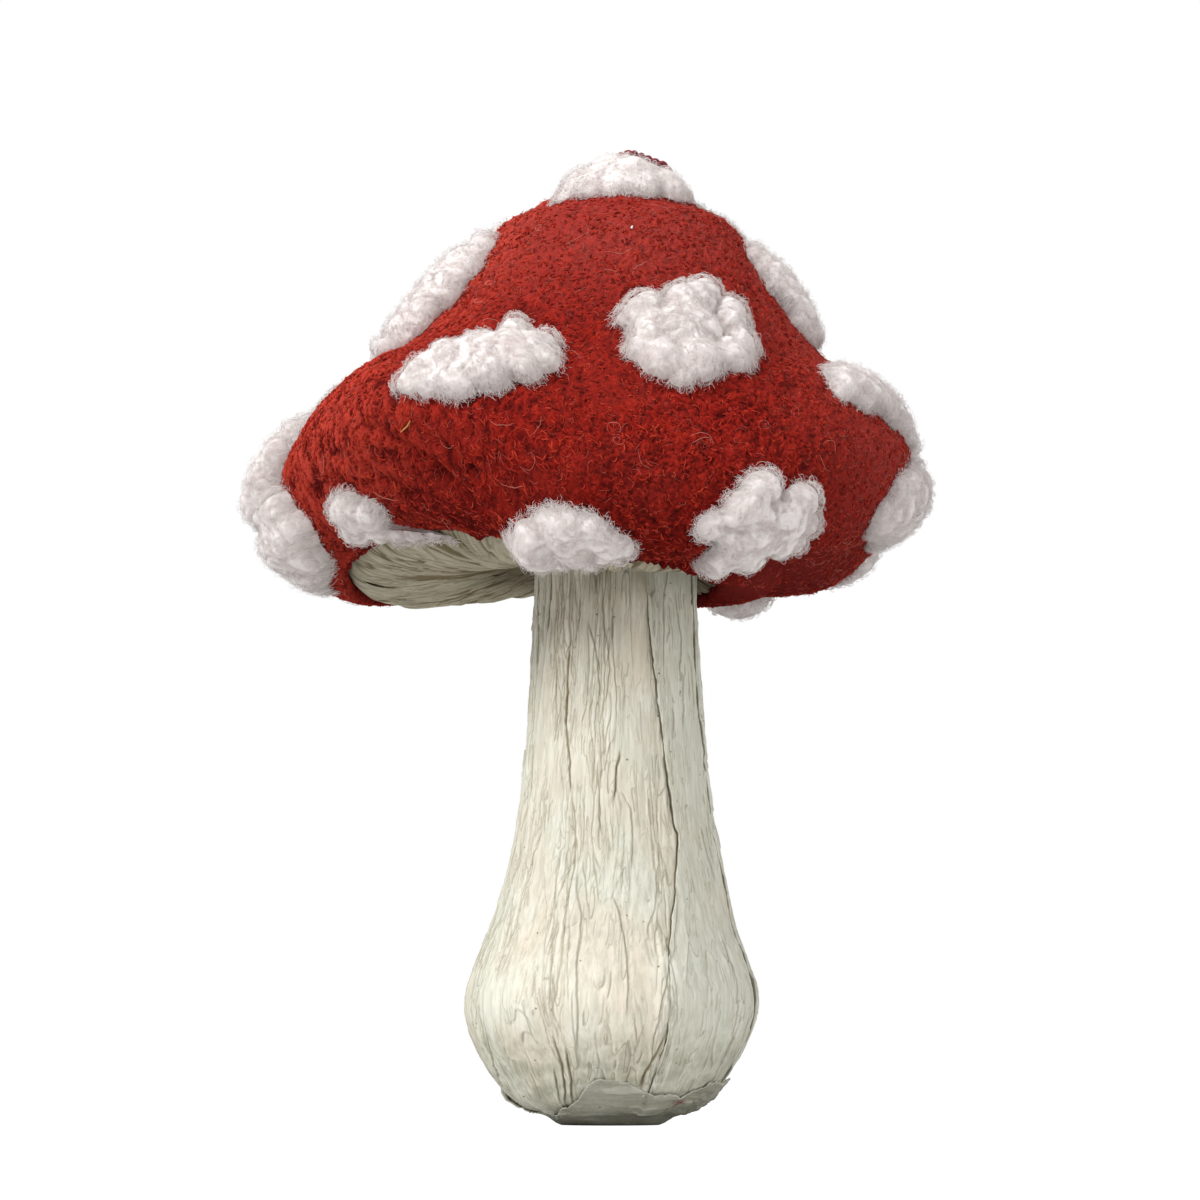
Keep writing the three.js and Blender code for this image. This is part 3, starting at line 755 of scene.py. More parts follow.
woolLook = {
    "front": {"directions": 230, "rings": 50, "strands": 3.4, "fringe": 11, "radius": 0.034},
    "back": {"directions": 130, "rings": 30, "strands": 1.4, "fringe": 4, "radius": 0.055},
    "sunk": 0.35,
    "fringe": 1.0,  # width of the edge where there are only loose fibres
    "flatness": 0.4,  # of the lobes: 0.5 for round ones
    "big": (4.6, 0.6),  # size and height of the billows
    "middle": (1.9, 0.2),
    "small": (0.75, 0.07),
    "hairStep": 0.36,
    "hairSteps": 6,
    "hairWander": 0.35,  # change of heading from step to step, in radians
    "hairCurl": 0.9,
    "hairWidth": (0.6, 1.5),  # least and most, in shares of the radius
    "hairLift": (-0.1, 0.2),
    "looseLift": (0.2, 1.2),
    "loose": 0.28,  # share of the hairs that stand up
    "fringeReach": (-1.5, 0.1),  # where the fringe's hairs start, from the heap's edge
    "white": (0.78, 0.73, 0.715),
    # painted shade in the hollows between the billows
    "hollowShade": (0.56, 0.48, 0.465),
    "edge": (0.64, 0.49, 0.47),
    "patch": (0.70, 0.65, 0.63),
    "hair": (0.80, 0.745, 0.725),
}

tuftList = {  # angle, place, half width, half length, height, tilt
    "crown": (-80, 0.03, 15.5, 15, 5.5, 0),
    "upper_left": (-157, 0.32, 10, 20, 7, 4),
    "middle_left": (-116, 0.49, 20, 11, 6, -30),
    "centre_right": (-70, 0.4, 15.5, 15, 6.5, 0),
    "upper_right": (-14, 0.305, 9, 16, 5.8, -8),
    "right": (-20, 0.52, 22, 9, 4.6, 20),
    "rim_right": (-8, 0.675, 24, 12, 6.5, 4),
    "rim_front_right": (-59, 0.705, 17, 14, 7, -30),
    "rim_front": (-95.5, 0.74, 15.5, 10.5, 7, 14),
    "rim_front_left": (-144, 0.745, 11, 8, 5, 0),
    "rim_left": (-173, 0.69, 15, 9, 8.5, 6),
    "left": (-175, 0.6, 13, 10.5, 8.5, 8),
    "middle_far_left": (-168, 0.515, 5, 13, 1.2, 0),
    "upper_far_right": (8, 0.17, 8, 12, 1.8, 0),
    "rim_back_right": (32, 0.68, 13, 8, 5, 10),
    "rim_back": (60, 0.75, 12, 10, 7.4, 0),
    "rim_back_left": (118, 0.65, 19, 10, 7, -8),
    "rim_far_left": (174, 0.715, 7, 6, 3.2, 0),
    "middle_back_right": (20, 0.46, 15, 13, 7, 10),
    "middle_back": (62, 0.47, 19, 15, 8, -16),
    "middle_back_left": (102, 0.49, 15, 12, 7, 12),
    "middle_left_back": (144, 0.5, 18, 15, 7, -10),
    "left_back": (172, 0.36, 9, 12, 6, 0),
    "upper_back_right": (44, 0.25, 12, 11, 6, 14),
    "upper_back": (98, 0.27, 14, 12, 7, -14),
    "upper_left_back": (150, 0.2, 12, 12, 6, 0),
}

tuftLobes = {
    "crown": [
        (-0.5, 0.5, 9, 5.9), (-8, 2.5, 7.4, 4.2), (7.5, 1.5, 7.5, 4.2), (0.5, 7.5, 8.4, 4.4),
        (-8.5, 8, 6, 3.2), (9.5, 7.5, 5.8, 3.4), (-13.5, 5, 4, 2.2), (-16.5, 7, 2.6, 1.2),
        (0, -7.5, 7.5, 4.2), (-8, -6.5, 6, 3), (7.5, -6.5, 6, 3), (3, 12.8, 3.6, 2.6),
        (-4.5, 12.3, 3.6, 2.4), (12.8, 3, 3.8, 2.4),
    ],
    "middle_left": [
        (-16.5, 3.4, 4, 3.5), (-11.8, 2.2, 5.5, 4.6), (-12, 7, 4.6, 4.2), (-5.5, 2.4, 6.6, 5.8),
        (-5.6, 8.8, 6.2, 5.4), (1.4, 2.8, 6.8, 6.2), (1.8, 8.6, 6, 5.6), (8, 3.2, 6.4, 6.2),
        (10.6, -10.4, 3.2, 4.6), (9.6, -5.4, 4.4, 5), (13, 2.6, 5, 5.6), (16.6, -1.2, 3.4, 4.6),
        (15.6, 5, 3.8, 4.6), (10.4, 7.4, 4.8, 5.2),
    ],
    "centre_right": [
        (-8, -6.6, 5.2, 5), (-12, -5.8, 3.2, 3.5), (2, -7.6, 6.4, 6), (12.6, -9.2, 4.4, 4.5),
        (11.5, -3.8, 5, 5.4), (13, 1.4, 4.6, 4.8), (9, 7.4, 5.4, 5), (0.6, 10.6, 6.2, 6),
        (-6.9, 9.8, 6, 5.8), (-10.8, 5.6, 4.4, 4.5), (-4.2, 15, 3.2, 3.2), (0, 1.3, 8.6, 7),
        (-7.3, 1, 6.2, 6), (6.6, -12.4, 4.4, 4.6),
    ],
    "rim_front_right": [
        (-9, -9.9, 4, 4), (2.8, -10.6, 4.4, 5.2), (-2.1, -8.6, 5.4, 6), (10.3, -2.8, 4.6, 5.2),
        (10.5, 2.4, 4, 4.8), (4.6, -1.4, 6, 6.3), (-1.4, -2, 6.8, 7), (-6.6, -2, 6, 6.2),
        (-11, 1.2, 4.8, 5), (3.5, 4.4, 4.6, 5), (8, 6.7, 3.2, 4), (-13, 4.4, 4.6, 5), (-16, 7.4, 3.6, 3.6),
        (-5, 4, 5, 5.4),
    ],
    "rim_front": [
        (-14.3, 2.9, 2.3, 3), (-9.2, 1.5, 4.8, 5.5), (-5.1, -2.4, 4.3, 5), (-1.7, -3, 5.7, 7),
        (3.1, -4.8, 4.8, 6), (6.4, -4.1, 4.1, 5.5), (10.2, -5.1, 2.7, 4), (0.5, 2, 5, 6),
        (-6.2, 4.6, 4.3, 5.5), (6.1, 2.5, 3.4, 4.5), (9.7, -0.4, 2.9, 4), (4, 8, 4, 5), (-3, 7.5, 4.5, 5),
    ],
    "left": [
        (-1, -11, 4.5, 4.5), (1.5, -8, 5, 6), (-2, -5, 6, 7.5), (3, -3, 6, 7), (-4, 0, 6, 8.5),
        (2, 1.5, 6.5, 8.5), (-1.5, 4.5, 5.5, 9.5), (4, 6, 5, 6.5), (-5, 6.5, 4, 7),
    ],
    "rim_left": [
        (-7, -6, 5, 6), (-1, -7, 5, 7), (5, -5, 5.5, 7.5), (-8, 0, 5.5, 6.5), (-2, -0.5, 6.5, 8.5),
        (4.5, 0.5, 6.5, 9), (9.5, -0.5, 5, 7), (6.5, 4.5, 5, 6.5), (1, 6, 5, 7), (-5, 5.5, 4.5, 6),
    ],
    "rim_front_left": [
        (-1.9, -3.8, 5, 5), (-4.3, -5.7, 3.2, 4), (-4.9, -0.9, 4.1, 4.5), (2.5, -1.9, 3.8, 4.5),
        (-1.1, 2.4, 3.4, 3.5), (0.5, 6.3, 3, 2.6), (5, 8, 2.6, 2.2), (9.5, 8.8, 2, 1.6),
        (13.5, 9.6, 1.4, 1.1),
    ],
}


def lobesFor(tuft, seed):  # a heap of lobes for a tuft that has no list of its own
    _, _, width, length, height, _ = tuft
    random = np.random.RandomState(seed)
    count = max(6, int(round((width + length) / 3.6)))
    least = min(width, length)
    lobes = [(0, 0, least * 0.84, height)]
    for side, far, less in ((-1, 0.4, 1.0), (-1, 0.8, 0.9), (1, 0.4, 1.0), (1, 0.8, 0.9)):
        off = side * far * abs(width - length)
        x, y = (off, 0) if width > length else (0, off)
        lobes.append((x, y, least * 0.8, height * less))
    for i in range(count):
        q = turn * (i + random.uniform(-0.25, 0.25)) / count
        r = random.uniform(0.3, 0.44) * least
        x, y = (width - r) * math.cos(q), (length - r) * math.sin(q)
        lobes.append((x, y, r, height * random.uniform(0.5, 0.75)))
    return lobes


def tuftSpot(tuft, x, y, rise):
    at, place, _, _, _, tilt = tuft
    t = math.radians(tilt)
    a, b = x * math.cos(t) - y * math.sin(t), x * math.sin(t) + y * math.cos(t)
    down = place * capLength
    along, aside = down + b, a * (down / outlineAt(capTable, place)[0])
    angle, place = math.radians(at) + np.arctan2(aside, along), np.hypot(along, aside) / capLength
    return capPoint(angle, place, rise + feltSag(angle, place))


def heapOf(lobes, x, y):  # height of the heap, the way that it faces and how far in from its edge
    most = max(lobe[3] for lobe in lobes)
    weights, height, facing, inner = 0, 0, 0, 0
    for cx, cy, r, k in lobes:
        dx, dy = (x - cx) / r, (y - cy) / r
        inside = 1 - dx * dx - dy * dy
        top = np.clip(inside, 0, 1) ** woolLook["flatness"]
        weight = np.exp(9 * k * top / most + 5 * np.clip(inside, -3, 0))
        weights = weights + weight
        height = height + weight * k * top
        inner = inner + weight * top
        facing = facing + weight[..., None] * xyz(dx, dy, top + 0.05)
    return height / weights, unit(facing), inner / weights


def woolSurface(tuft, lobes, x, y, seed, share):  # share takes the heap's height down at its edge
    height, facing, inner = heapOf(lobes, x, y)
    height = height * share
    base = tuftSpot(tuft, x, y, height - woolLook["sunk"])
    acrossWay = unit(tuftSpot(tuft, x + 0.2, y, height) - tuftSpot(tuft, x - 0.2, y, height))
    downWay = unit(tuftSpot(tuft, x, y + 0.2, height) - tuftSpot(tuft, x, y - 0.2, height))
    out = unit(tuftSpot(tuft, x, y, height + 0.5) - base)
    normal = unit(acrossWay * facing[..., :1] + downWay * facing[..., 1:2] + out * facing[..., 2:])
    warp = np.stack([softNoise(base, 4.5, seed + k) for k in (4, 5, 6)], -1) * 1.5
    big, middle, small = (woolLook[key] for key in ("big", "middle", "small"))
    billows = np.clip(np.abs(softNoise(base + warp, big[0], seed)) * 1.6, 0, 1)
    folds = np.clip(np.abs(softNoise(base + warp * 0.6, middle[0], seed + 1)) * 1.6, 0, 1)
    move = big[1] * (billows - 0.5) + middle[1] * (folds - 0.5)
    move = move + small[1] * softNoise(base, small[0], seed + 2)
    return base + normal * (move * (0.3 + 0.7 * share))[..., None], 0.6 * billows + 0.4 * folds, inner


def woolMaterial():
    finish, net, bsdf = newMaterial("whiteWool", 1, 0.1)
    tone = placeGroup(net, mottle, Size=190.0, Grain=1900.0)
    # darker in the hollows between billows: painted shade
    layColours(net, bsdf, woolLook["hollowShade"], [
        ("height", (0.05, 0.5), woolLook["white"]),
        ("rim", (0, 0.55, 0.6, 0), woolLook["edge"]),
        (tone["Patches"], (0.42, 0.65, 0, 0.3), woolLook["patch"]),
    ])
    bumpFrom(net, bsdf, tone["Grain"], 0.5, 0.2)
    return finish


def heapEdge(lobes, ray):  # the heap's middle and how far it reaches from there along each ray
    spots, radii = lobes[:, :2], lobes[:, 2:3]
    middle = (spots * radii**2).sum(0) / (radii**2).sum()
    reach = np.full(len(ray), 0.5)
    for spot, r in zip(spots, radii):
        off = spot - middle
        near = ray @ off
        inside = r * r - (off @ off - near * near)
        reach = np.maximum(reach, np.where(inside > 0, near + np.sqrt(np.maximum(inside, 0)), 0))
    return middle, reach


def hairStarts(lobes, look, middle, reach, ray, random):  # all over the heap and then along its edge
    spots, radii = lobes[:, :2], lobes[:, 2:3]
    low, high = (spots - radii).min(0), (spots + radii).max(0)
    tries = int(look["strands"] * (high - low).prod())
    starts = [random.uniform(low[k], high[k], tries) for k in (0, 1)]
    found = heapOf(lobes, *starts)[0] > 0.5
    rimLength = np.hypot(np.diff(reach * ray[:, 0]), np.diff(reach * ray[:, 1])).sum()
    outer = int(look["fringe"] * rimLength * 1.6)
    at = random.randint(0, len(ray), outer)
    out = reach[at] + random.uniform(*woolLook["fringeReach"], outer)
    x, y = (np.append(starts[k][found], middle[k] + out * ray[at, k]) for k in (0, 1))
    return x, y, found.sum()


def makeTuftHairs(name, tuft, lobes, look, edge, finish, random):
    x, y, onHeap = hairStarts(lobes, look, *edge, random)
    count, steps = len(x), woolLook["hairSteps"]
    heading, curl = random.random(count) * turn, random.normal(0, woolLook["hairCurl"], count)
    path = [(x, y)]
    for _ in range(steps - 1):
        heading = heading + curl + random.normal(0, woolLook["hairWander"], count)
        x, y = x + woolLook["hairStep"] * np.cos(heading), y + woolLook["hairStep"] * np.sin(heading)
        path.append((x, y))
    x, y = (np.stack(column, 1) for column in zip(*path))
    t = np.linspace(0, 1, steps)
    rise = heapOf(lobes, x, y)[0]
    rise = np.maximum(rise, rise[:, :1] * (1 - 0.5 * t)) - woolLook["sunk"]
    level = np.where(np.arange(count) < onHeap, 1, random.uniform(0.15, 1, count))[:, None]
    loose = random.random(count)[:, None] < woolLook["loose"]
    looseLift = random.uniform(*woolLook["looseLift"], (count, 1))
    lift = np.where(loose, looseLift, random.uniform(*woolLook["hairLift"], (count, 1)))
    paths = tuftSpot(tuft, x, y, rise * level + lift * np.sin(np.pi * t) + 0.05)
    points, faces = fibreMesh(paths, look["radius"] * random.uniform(*woolLook["hairWidth"], count))
    hairs = buildPiece("woolFibres_" + name, points, faces, finish)


def makeTuft(name, tuft, finish, hairFinish, seed):
    seenInFront = math.sin(math.radians(tuft[0])) < 0.15
    look = woolLook["front" if seenInFront else "back"]
    lobes = np.array(tuftLobes.get(name) or lobesFor(tuft, seed))
    directions, rings = look["directions"], look["rings"]
    q = np.arange(directions) * turn / directions
    ray = np.stack([np.cos(q), np.sin(q)], -1)
    middle, reach = heapEdge(lobes, ray)
    solid = np.maximum(reach - woolLook["fringe"], 0.4)
    share = np.sin(np.linspace(0, 1, rings) * math.pi / 2)[1:]
    across = [np.append((middle[k] + share[:, None] * solid * ray[:, k]).ravel(), middle[k]) for k in (0, 1)]
    rounded = np.append(np.repeat(np.sqrt(1 - share**9), directions), 1)
    surface, level, inner = woolSurface(tuft, lobes, *across, seed, rounded)
    faces = gridFaces(rings - 1, directions, closed=True)
    k = np.arange(directions)
    tip = np.stack([np.full(directions, len(surface) - 1), (k + 1) % directions, k], -1)
    triangles = np.vstack([tip, faces[:, [0, 1, 2]], faces[:, [0, 2, 3]]])
    outward = unit(tuftSpot(tuft, 0.0, 0.0, 1.0) - tuftSpot(tuft, 0.0, 0.0, 0.0))
    if faceWays(surface, triangles[:directions]).sum(0) @ outward < 0:
        triangles = triangles[:, ::-1]
    piece = buildPiece("wool_" + name, surface, triangles, finish, {"height": level, "rim": inner})
    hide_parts("wool_tuft_" + name)
    edge = middle, reach, ray
    makeTuftHairs(name, tuft, lobes, look, edge, hairFinish, np.random.RandomState(seed))


woolFinish = woolMaterial()
hairFinish = plainMaterial("woolHair", woolLook["hair"])
for seed, (name, tuft) in enumerate(tuftList.items()):
    makeTuft(name, tuft, woolFinish, hairFinish, 300 + 7 * seed)
print("wool tufts:", len(tuftList))

# Bark sheets on the stem

barkLook = {
    "pale": (0.82, 0.80, 0.69),
    "warm": (0.77, 0.70, 0.57),
    "cool": (0.65, 0.675, 0.57),
    # edge: paler torn edges and flake lips, partly painted highlight where a raised lip faces the light
    "edge": (0.87, 0.86, 0.76),
    "stain": (0.23, 0.045, 0.04),
    "crackAndShade": (0.36, 0.30, 0.20),  # this and the next multiply the colour under them; this one darkens the cracks and creases, partly their own colour and partly painted shade
    "shade": (0.36, 0.335, 0.265),
    "darkOlive": (0.31, 0.305, 0.22),
    "speck": (0.13, 0.10, 0.06),
    "tucked": 1.6,  # width of each sheet that lies under the next one
    "cut": [(0.5, 1.4), (0.05, 0.35)],  # two lines of points behind the laid edge: way in from it and depth
    "waves": [(0.4, 0.3, 8, 7), (0.14, 0.5, 2.6, 8)],  # height, squeeze along the stem, size and seed
    "frontLift": (0.4, 75, 16),  # the front right edge stands up more: by how much, height and length
    "capShade": (101, 124),  # heights between which the cap's shade comes in
    "shadeMiddle": (-92, 34),  # where it is deepest: angle and width
    "lowDarkening": (9, 25),  # heights between which the darkening towards the bottom ends
    "sheets": {  # between points across, rows, greyness and height of the laid edge; the greyness of the right-hand sheets is partly painted shade, on the side away from the light
        "front": (0.2, 400, 0.1, 0.6),
        "front_right": (0.21, 400, 0.6, 0.3),
        "right": (0.26, 300, 0.8, 0.3),
        "back_right": (0.36, 220, 0.35, 0.6),
        "back": (0.36, 220, 0.2, 0.6),
        "left": (0.25, 320, 0.25, 0.6),
    },
}

# each family of flaked steps: spacing, run along the stem, height, share that shows, raggedness and darkness
barkSteps = [
    (7.0, 38, 0.38, 0.0, 0.05, 0.6),
    (3.4, 17, 0.28, 0.0, 0.09, 0.6),
    (1.7, 12, 0.1, -0.02, 0.1, 0.45),
]

# each family of wrinkles: spacing, run, height, height outside the busy strips and darkness
barkWrinkles = [(2.3, 26, 0.8, 0.05, 1.2), (1.2, 14, 0.55, 0.05, 1.5), (0.7, 7, 0.24, 0.06, 2.0)]

# busy strips of wrinkles: angle in degrees, half width in millimetres, strength, from and to which height
barkStrips = [
    (-117, 3.8, 1.0, 24, 74), (-127, 4.2, 1.0, 84, 140), (-101, 3.2, 1.0, 76, 132),
    (-112, 2.2, 0.5, 84, 120), (-84, 1.6, 0.7, 26, 66), (-68.5, 2.6, 0.8, 4, 62), (-141, 3, 0.8, 30, 75),
    (-62, 3, 0.6, 60, 130), (-44, 1.6, 0.5, 60, 118), (-30, 2.6, 0.45, 0, 60), (-158, 3, 0.8, 0, 130),
    (-176, 4, 0.6, 0, 130), (-14, 3, 0.7, 0, 130), (15, 4, 0.8, 0, 130), (62, 5, 0.8, 0, 130),
    (110, 4, 0.9, 0, 130), (140, 3, 0.7, 0, 130), (-93, 3, 0.55, 60, 84),
]

# creases that the photo shows: path (height, angle), step (below 0: higher on the left), width, darkness
barkCreases = [
    ([(127, -141.6), (118, -142.4), (109, -144.2)], -0.6, 0.7, 1.0),
    ([(110, -144.0), (97, -146.6), (84, -149.8)], -0.4, 0.35, 1.0),
    ([(106, -123.8), (96.3, -124.1), (89.3, -123.8), (80.2, -119.4), (73, -118.4)], -0.45, 0.26, 1.0),
    ([(118, -127), (107.6, -131), (94.2, -133.1), (89, -134.8)], 0.4, 0.22, 0.8),
    ([(124, -160), (118, -159.8), (108.2, -156.5), (102, -157.7)], -0.6, 0.3, 1.0),
    ([(103.5, -102.7), (96.1, -100.3), (93, -101.6)], -0.4, 0.2, 0.75),
    ([(99, -102.5), (92.7, -105.6), (88, -106), (82, -103.6)], 0.36, 0.18, 0.6),
    ([(112.5, -92.5), (102.7, -91.2), (93.8, -89.2), (88.5, -89.8)], -0.3, 0.18, 0.6),
    ([(81, -100.3), (74.7, -100.7), (69.3, -99.1), (63.5, -98.3)], 0.4, 0.22, 0.9),
    ([(83, -87.0), (78.6, -89.2), (74.9, -90.4), (71, -91.7)], -0.62, 0.34, 1.0),
    ([(70.5, -81.1), (63.7, -80.9), (56.5, -81.9)], -0.35, 0.2, 0.5),
    ([(56, -110.5), (52, -109.3), (46.1, -105.5), (41.9, -104.6), (33.8, -103.6), (26.4, -102.4),
      (16.5, -104)], -0.42, 0.34, 0.55),
    ([(50.5, -91.2), (45.4, -87), (41.7, -85), (36.8, -83.6), (29.6, -83.2),
      (24, -83.7)], -0.45, 0.26, 0.6),
    ([(24, -81.4), (17.8, -79)], -0.4, 0.22, 0.8),
    ([(41, -65.8), (37.3, -65.2), (32.9, -67), (27.5, -70.2), (19.7, -72.4), (9.8, -71)], -0.35, 0.24, 0.8),
    ([(20.5, -67.4), (16.3, -70), (12.1, -73.4), (8, -74.6)], 0.5, 0.36, 1.0),
    ([(111, -39), (106.1, -37.2), (95.5, -40.8)], -0.3, 0.2, 0.9),
    ([(85, -45.1), (79.7, -44.4), (73, -45.2)], -0.22, 0.2, 0.6),
    ([(57, -131.6), (48.4, -124.3), (41.8, -121.1), (36.3, -118.4), (29.6, -117.2)], 0.38, 0.24, 0.5),
    ([(59, -123.4), (49.4, -119.7), (40.6, -116.8), (30.7, -112.4), (24, -110.2)], -0.34, 0.22, 0.5),
    ([(60, -117.8), (49.4, -113.2), (42.8, -109.6), (36.2, -108), (26.5, -105.6)], -0.3, 0.2, 0.45),
    ([(20, -114.2), (13.4, -112.3), (7.9, -114), (4.5, -118.8)], -0.6, 0.3, 0.9),
    ([(17, -109.2), (10.1, -109.6), (4.8, -112.9)], -0.6, 0.3, 0.9),
    ([(13, -116.8), (8, -118), (4.5, -121)], -0.4, 0.24, 0.8),
    ([(59.5, -154.2), (49.8, -147.4), (44.2, -144.6), (37.4, -141.2)], -0.3, 0.22, 0.55),
    ([(21.5, -150.6), (14.5, -156), (8.9, -166)], -0.4, 0.26, 0.8),
    ([(45.5, -51.8), (36.3, -57.2), (29.6, -60)], -0.24, 0.2, 0.5),
    ([(22.5, -34), (15.6, -27.4), (9.6, -17)], -0.3, 0.22, 0.6),
    ([(115, -136.5), (105.4, -131.6), (97, -127.4)], 0.34, 0.2, 0.7),
    ([(118, -115.8), (110.8, -117.1), (106, -120.6)], -0.34, 0.2, 0.7),
    ([(111.5, -109.6), (105, -103.5), (99.5, -100)], -0.42, 0.22, 0.8),
    ([(112, -99.4), (106.1, -95.2), (100.5, -93.9), (92.6, -96.6)], -0.34, 0.2, 0.7),
    ([(119, -81), (110, -79.2), (101, -78.4)], -0.24, 0.18, 0.5),
    ([(56, -37), (45, -36.2), (35, -40)], -0.2, 0.2, 0.45),
]

seamPaths = {  # height and angle of the edges that the photo shows
    0: [
        (0, -146), (41, -145.9), (50, -149.5), (61, -147.7), (69, -148.6), (83, -148.4), (98, -145.3),
        (123, -140.4), (140, -139),
    ],
    1: [
        (0, -69.5), (9.5, -68.9), (18.6, -67.2), (36.7, -66.2), (50, -59.7), (62, -54.2), (64.2, -53.4),
        (66.5, -55.4), (80, -58.4), (97, -62.7), (109, -66.3), (140, -71),
    ],
}

footLook = {
    # These colours are a darker copy of the stem's bark: painted shade on the foot.
    "pale": (0.52, 0.51, 0.425),
    "warm": (0.48, 0.45, 0.36),
    "cool": (0.43, 0.435, 0.375),
    "edge": (0.74, 0.73, 0.64),
    "top": [  # angle and reach up the stem, as the photo shows
        (-190, 10), (-165, 4.6), (-149, 4), (-131, 7), (-115, 11), (-103, 15.5), (-95, 18.5), (-83, 16.7),
        (-70, 14), (-48, 13), (-35, 16), (0, 18), (20, 16),
    ],
    "flat": 11.0,  # radius of the part that lies on the floor
    "rise": 0.35,  # how far the sheet stands off the stem
    "perDegree": 0.39,  # millimetres round the foot
    "points": (760, 60),  # round the foot and up from its flat part
    "dye": (-50, 9),  # angle and height of a line of red dye
    "smear": (-46, 11.5),
}


def barkMaterial(name, look):
    finish, net, bsdf = newMaterial(name, 0.5, 0.25)
    tone = placeGroup(net, mottle, Size=48.0, Grain=800.0)
    lines = placeGroup(net, streaks, Scale=900.0, Stretch=0.045)
    dots = placeGroup(net, specks, Scale=300.0, Amount=0.35)
    layColours(net, bsdf, look["pale"], [
        (tone["Patches"], (0.42, 0.6), look["warm"]),
        ("tone", None, look["cool"]),
        (lines["Lines"], (0, 1, 0, 0.3), barkLook["darkOlive"]),
        ("darkening", (0, 1, 0, 0.85), barkLook["darkOlive"]),
        # paler edges and lips: partly painted highlight
        ("lip", (0, 1, 0, 0.6), look["edge"]),
        ("stain", None, barkLook["stain"]),
        # darker cracks and creases: partly painted shade
        ("crackAndShade", (0.1, 0.9, 0, 0.95), barkLook["crackAndShade"], "MULTIPLY"),
        ("shade", (0, 1, 0, 0.95), barkLook["shade"], "MULTIPLY"),
        (dots["Mask"], (0, 1, 0, 0.85), barkLook["speck"]),
    ])
    feed(net, bsdf.inputs["Roughness"], rampValues(net, tone["Grain"], 0.3, 0.7, 0.62, 0.9))
    bumpFrom(net, bsdf, lines["Height"], 0.4, 0.18)
    return finish


def stepped(field, reach, height):  # crisp steps along a field's level lines, with gentle slopes between; it also marks the line at each step, darkened later as partly painted shade, and the band beside it, lightened later as partly painted highlight
    across = np.gradient(field, axis=1) / reach
    past = field - np.floor(field + 0.5)
    away = past / np.maximum(np.abs(across), 0.06)
    wall = ease(away, -0.1, 0.1) - 0.5
    return height * (wall - past), bell(away / 0.16), bell((away - np.sign(across) * 0.3) / 0.3)


def barkRelief(u, z, busy, seed):  # flaked steps and wrinkles that run along z, at a way u round the stem
    noise = lambda across, along, own, number: softNoise(xyz(u / across, z / along, own), 1, own + number)
    reach = np.maximum(np.abs(np.gradient(u, axis=1)), 0.02)
    fine, rough = noise(1.4, 2.2, seed, 0), noise(0.5, 0.9, seed, 1)
    relief = 0.055 * rough + 0.06 * noise(0.8, 5, seed, 2)
    crackAndShade, lip = 0, 0
    for order, (spacing, run, height, shown, ragged, dark) in enumerate(barkSteps):
        own = seed + 31 * order
        field = 1.7 * noise(spacing, run, own, 3) + 0.5 * noise(spacing / 2.6, run / 2, own, 4)
        mask = noise(spacing * 1.3, run * 0.6, own, 5)
        shows = ease(mask + 0.3 * (busy - 0.3), shown, shown + 0.16)
        rise, line, edge = stepped(field * 1.3 + ragged * fine + 0.02 * rough, reach, height)
        relief = relief + shows * rise
        # dark line at each step: partly painted shade
        crackAndShade = np.maximum(crackAndShade, dark * shows * line)
        # pale band beside each step: partly painted highlight
        lip = np.maximum(lip, 0.5 * shows * edge)
    for order, (spacing, run, height, low, dark) in enumerate(barkWrinkles):
        own = seed + 100 + 31 * order
        warp = 0.22 * fine + 0.5 * noise(6, 12, own, 1)
        field = softNoise(xyz((u + warp * spacing * 0.5) / spacing, z / run, own), 1, own)
        size = low + (height - low) * ease(busy + 0.25 * noise(5, 14, own, 2), 0.25, 1.0)
        fold = np.abs(field)
        relief = relief + size * (np.minimum(fold, 0.5) ** 0.7 - 0.3)
        slope = np.maximum(np.abs(np.gradient(field, axis=1)) / reach, 0.1)
        # dark wrinkle troughs: partly painted shade
        crackAndShade = np.maximum(crackAndShade, bell(fold / slope / 0.13) * np.clip(size * dark - 0.12, 0, 1))
        # pale wrinkle crests: partly painted highlight
        lip = np.maximum(lip, ease(fold, 0.25, 0.55) * np.clip(size * 1.6 - 0.1, 0, 0.8))
    return relief, crackAndShade, lip


def creaseRelief(angle, place):  # the photo's own creases, on the stem
    radius, height, _, _ = outlineAt(stemTable, place)
    relief, crackAndShade, lip = np.zeros((3, *angle.shape))
    ragged = 0.14 * softNoise(xyz(angle * 3, 0, height / 1.7), 1, 21)
    ragged = ragged + 0.2 * softNoise(xyz(angle, 0, height / 5), 1, 22)
    for path, step, width, dark in barkCreases:
        heights, angles = np.array(path, float)[::-1].T
        if abs(turnedBy(angle, angles.mean())).min() > 0.2:  # it lies on another sheet
            continue
        aside = turnedBy(angle, np.interp(height, heights, angles)) * radius + ragged
        low, high = heights[0], heights[-1]
        ends = ease(height, low - 1, low + 2.5) * (1 - ease(height, high - 2.5, high + 1))
        beyond = aside * np.sign(step)
        slope = np.where(beyond > 0, np.exp(-beyond / 1.5), 0) * ease(beyond, -0.05, 0.2)
        relief = relief + ends * (0.9 * abs(step) * slope - 0.4 * abs(step) * bell(aside / width))
        # dark line along each crease: partly painted shade
        crackAndShade = np.maximum(crackAndShade, ends * dark * bell(aside / (0.75 * width)))
        # pale band beside each crease: partly painted highlight
        lip = np.maximum(lip, ends * 0.75 * np.where(beyond > 0.25, np.exp(-(beyond - 0.25) / 0.4), 0))
    return relief, crackAndShade, lip


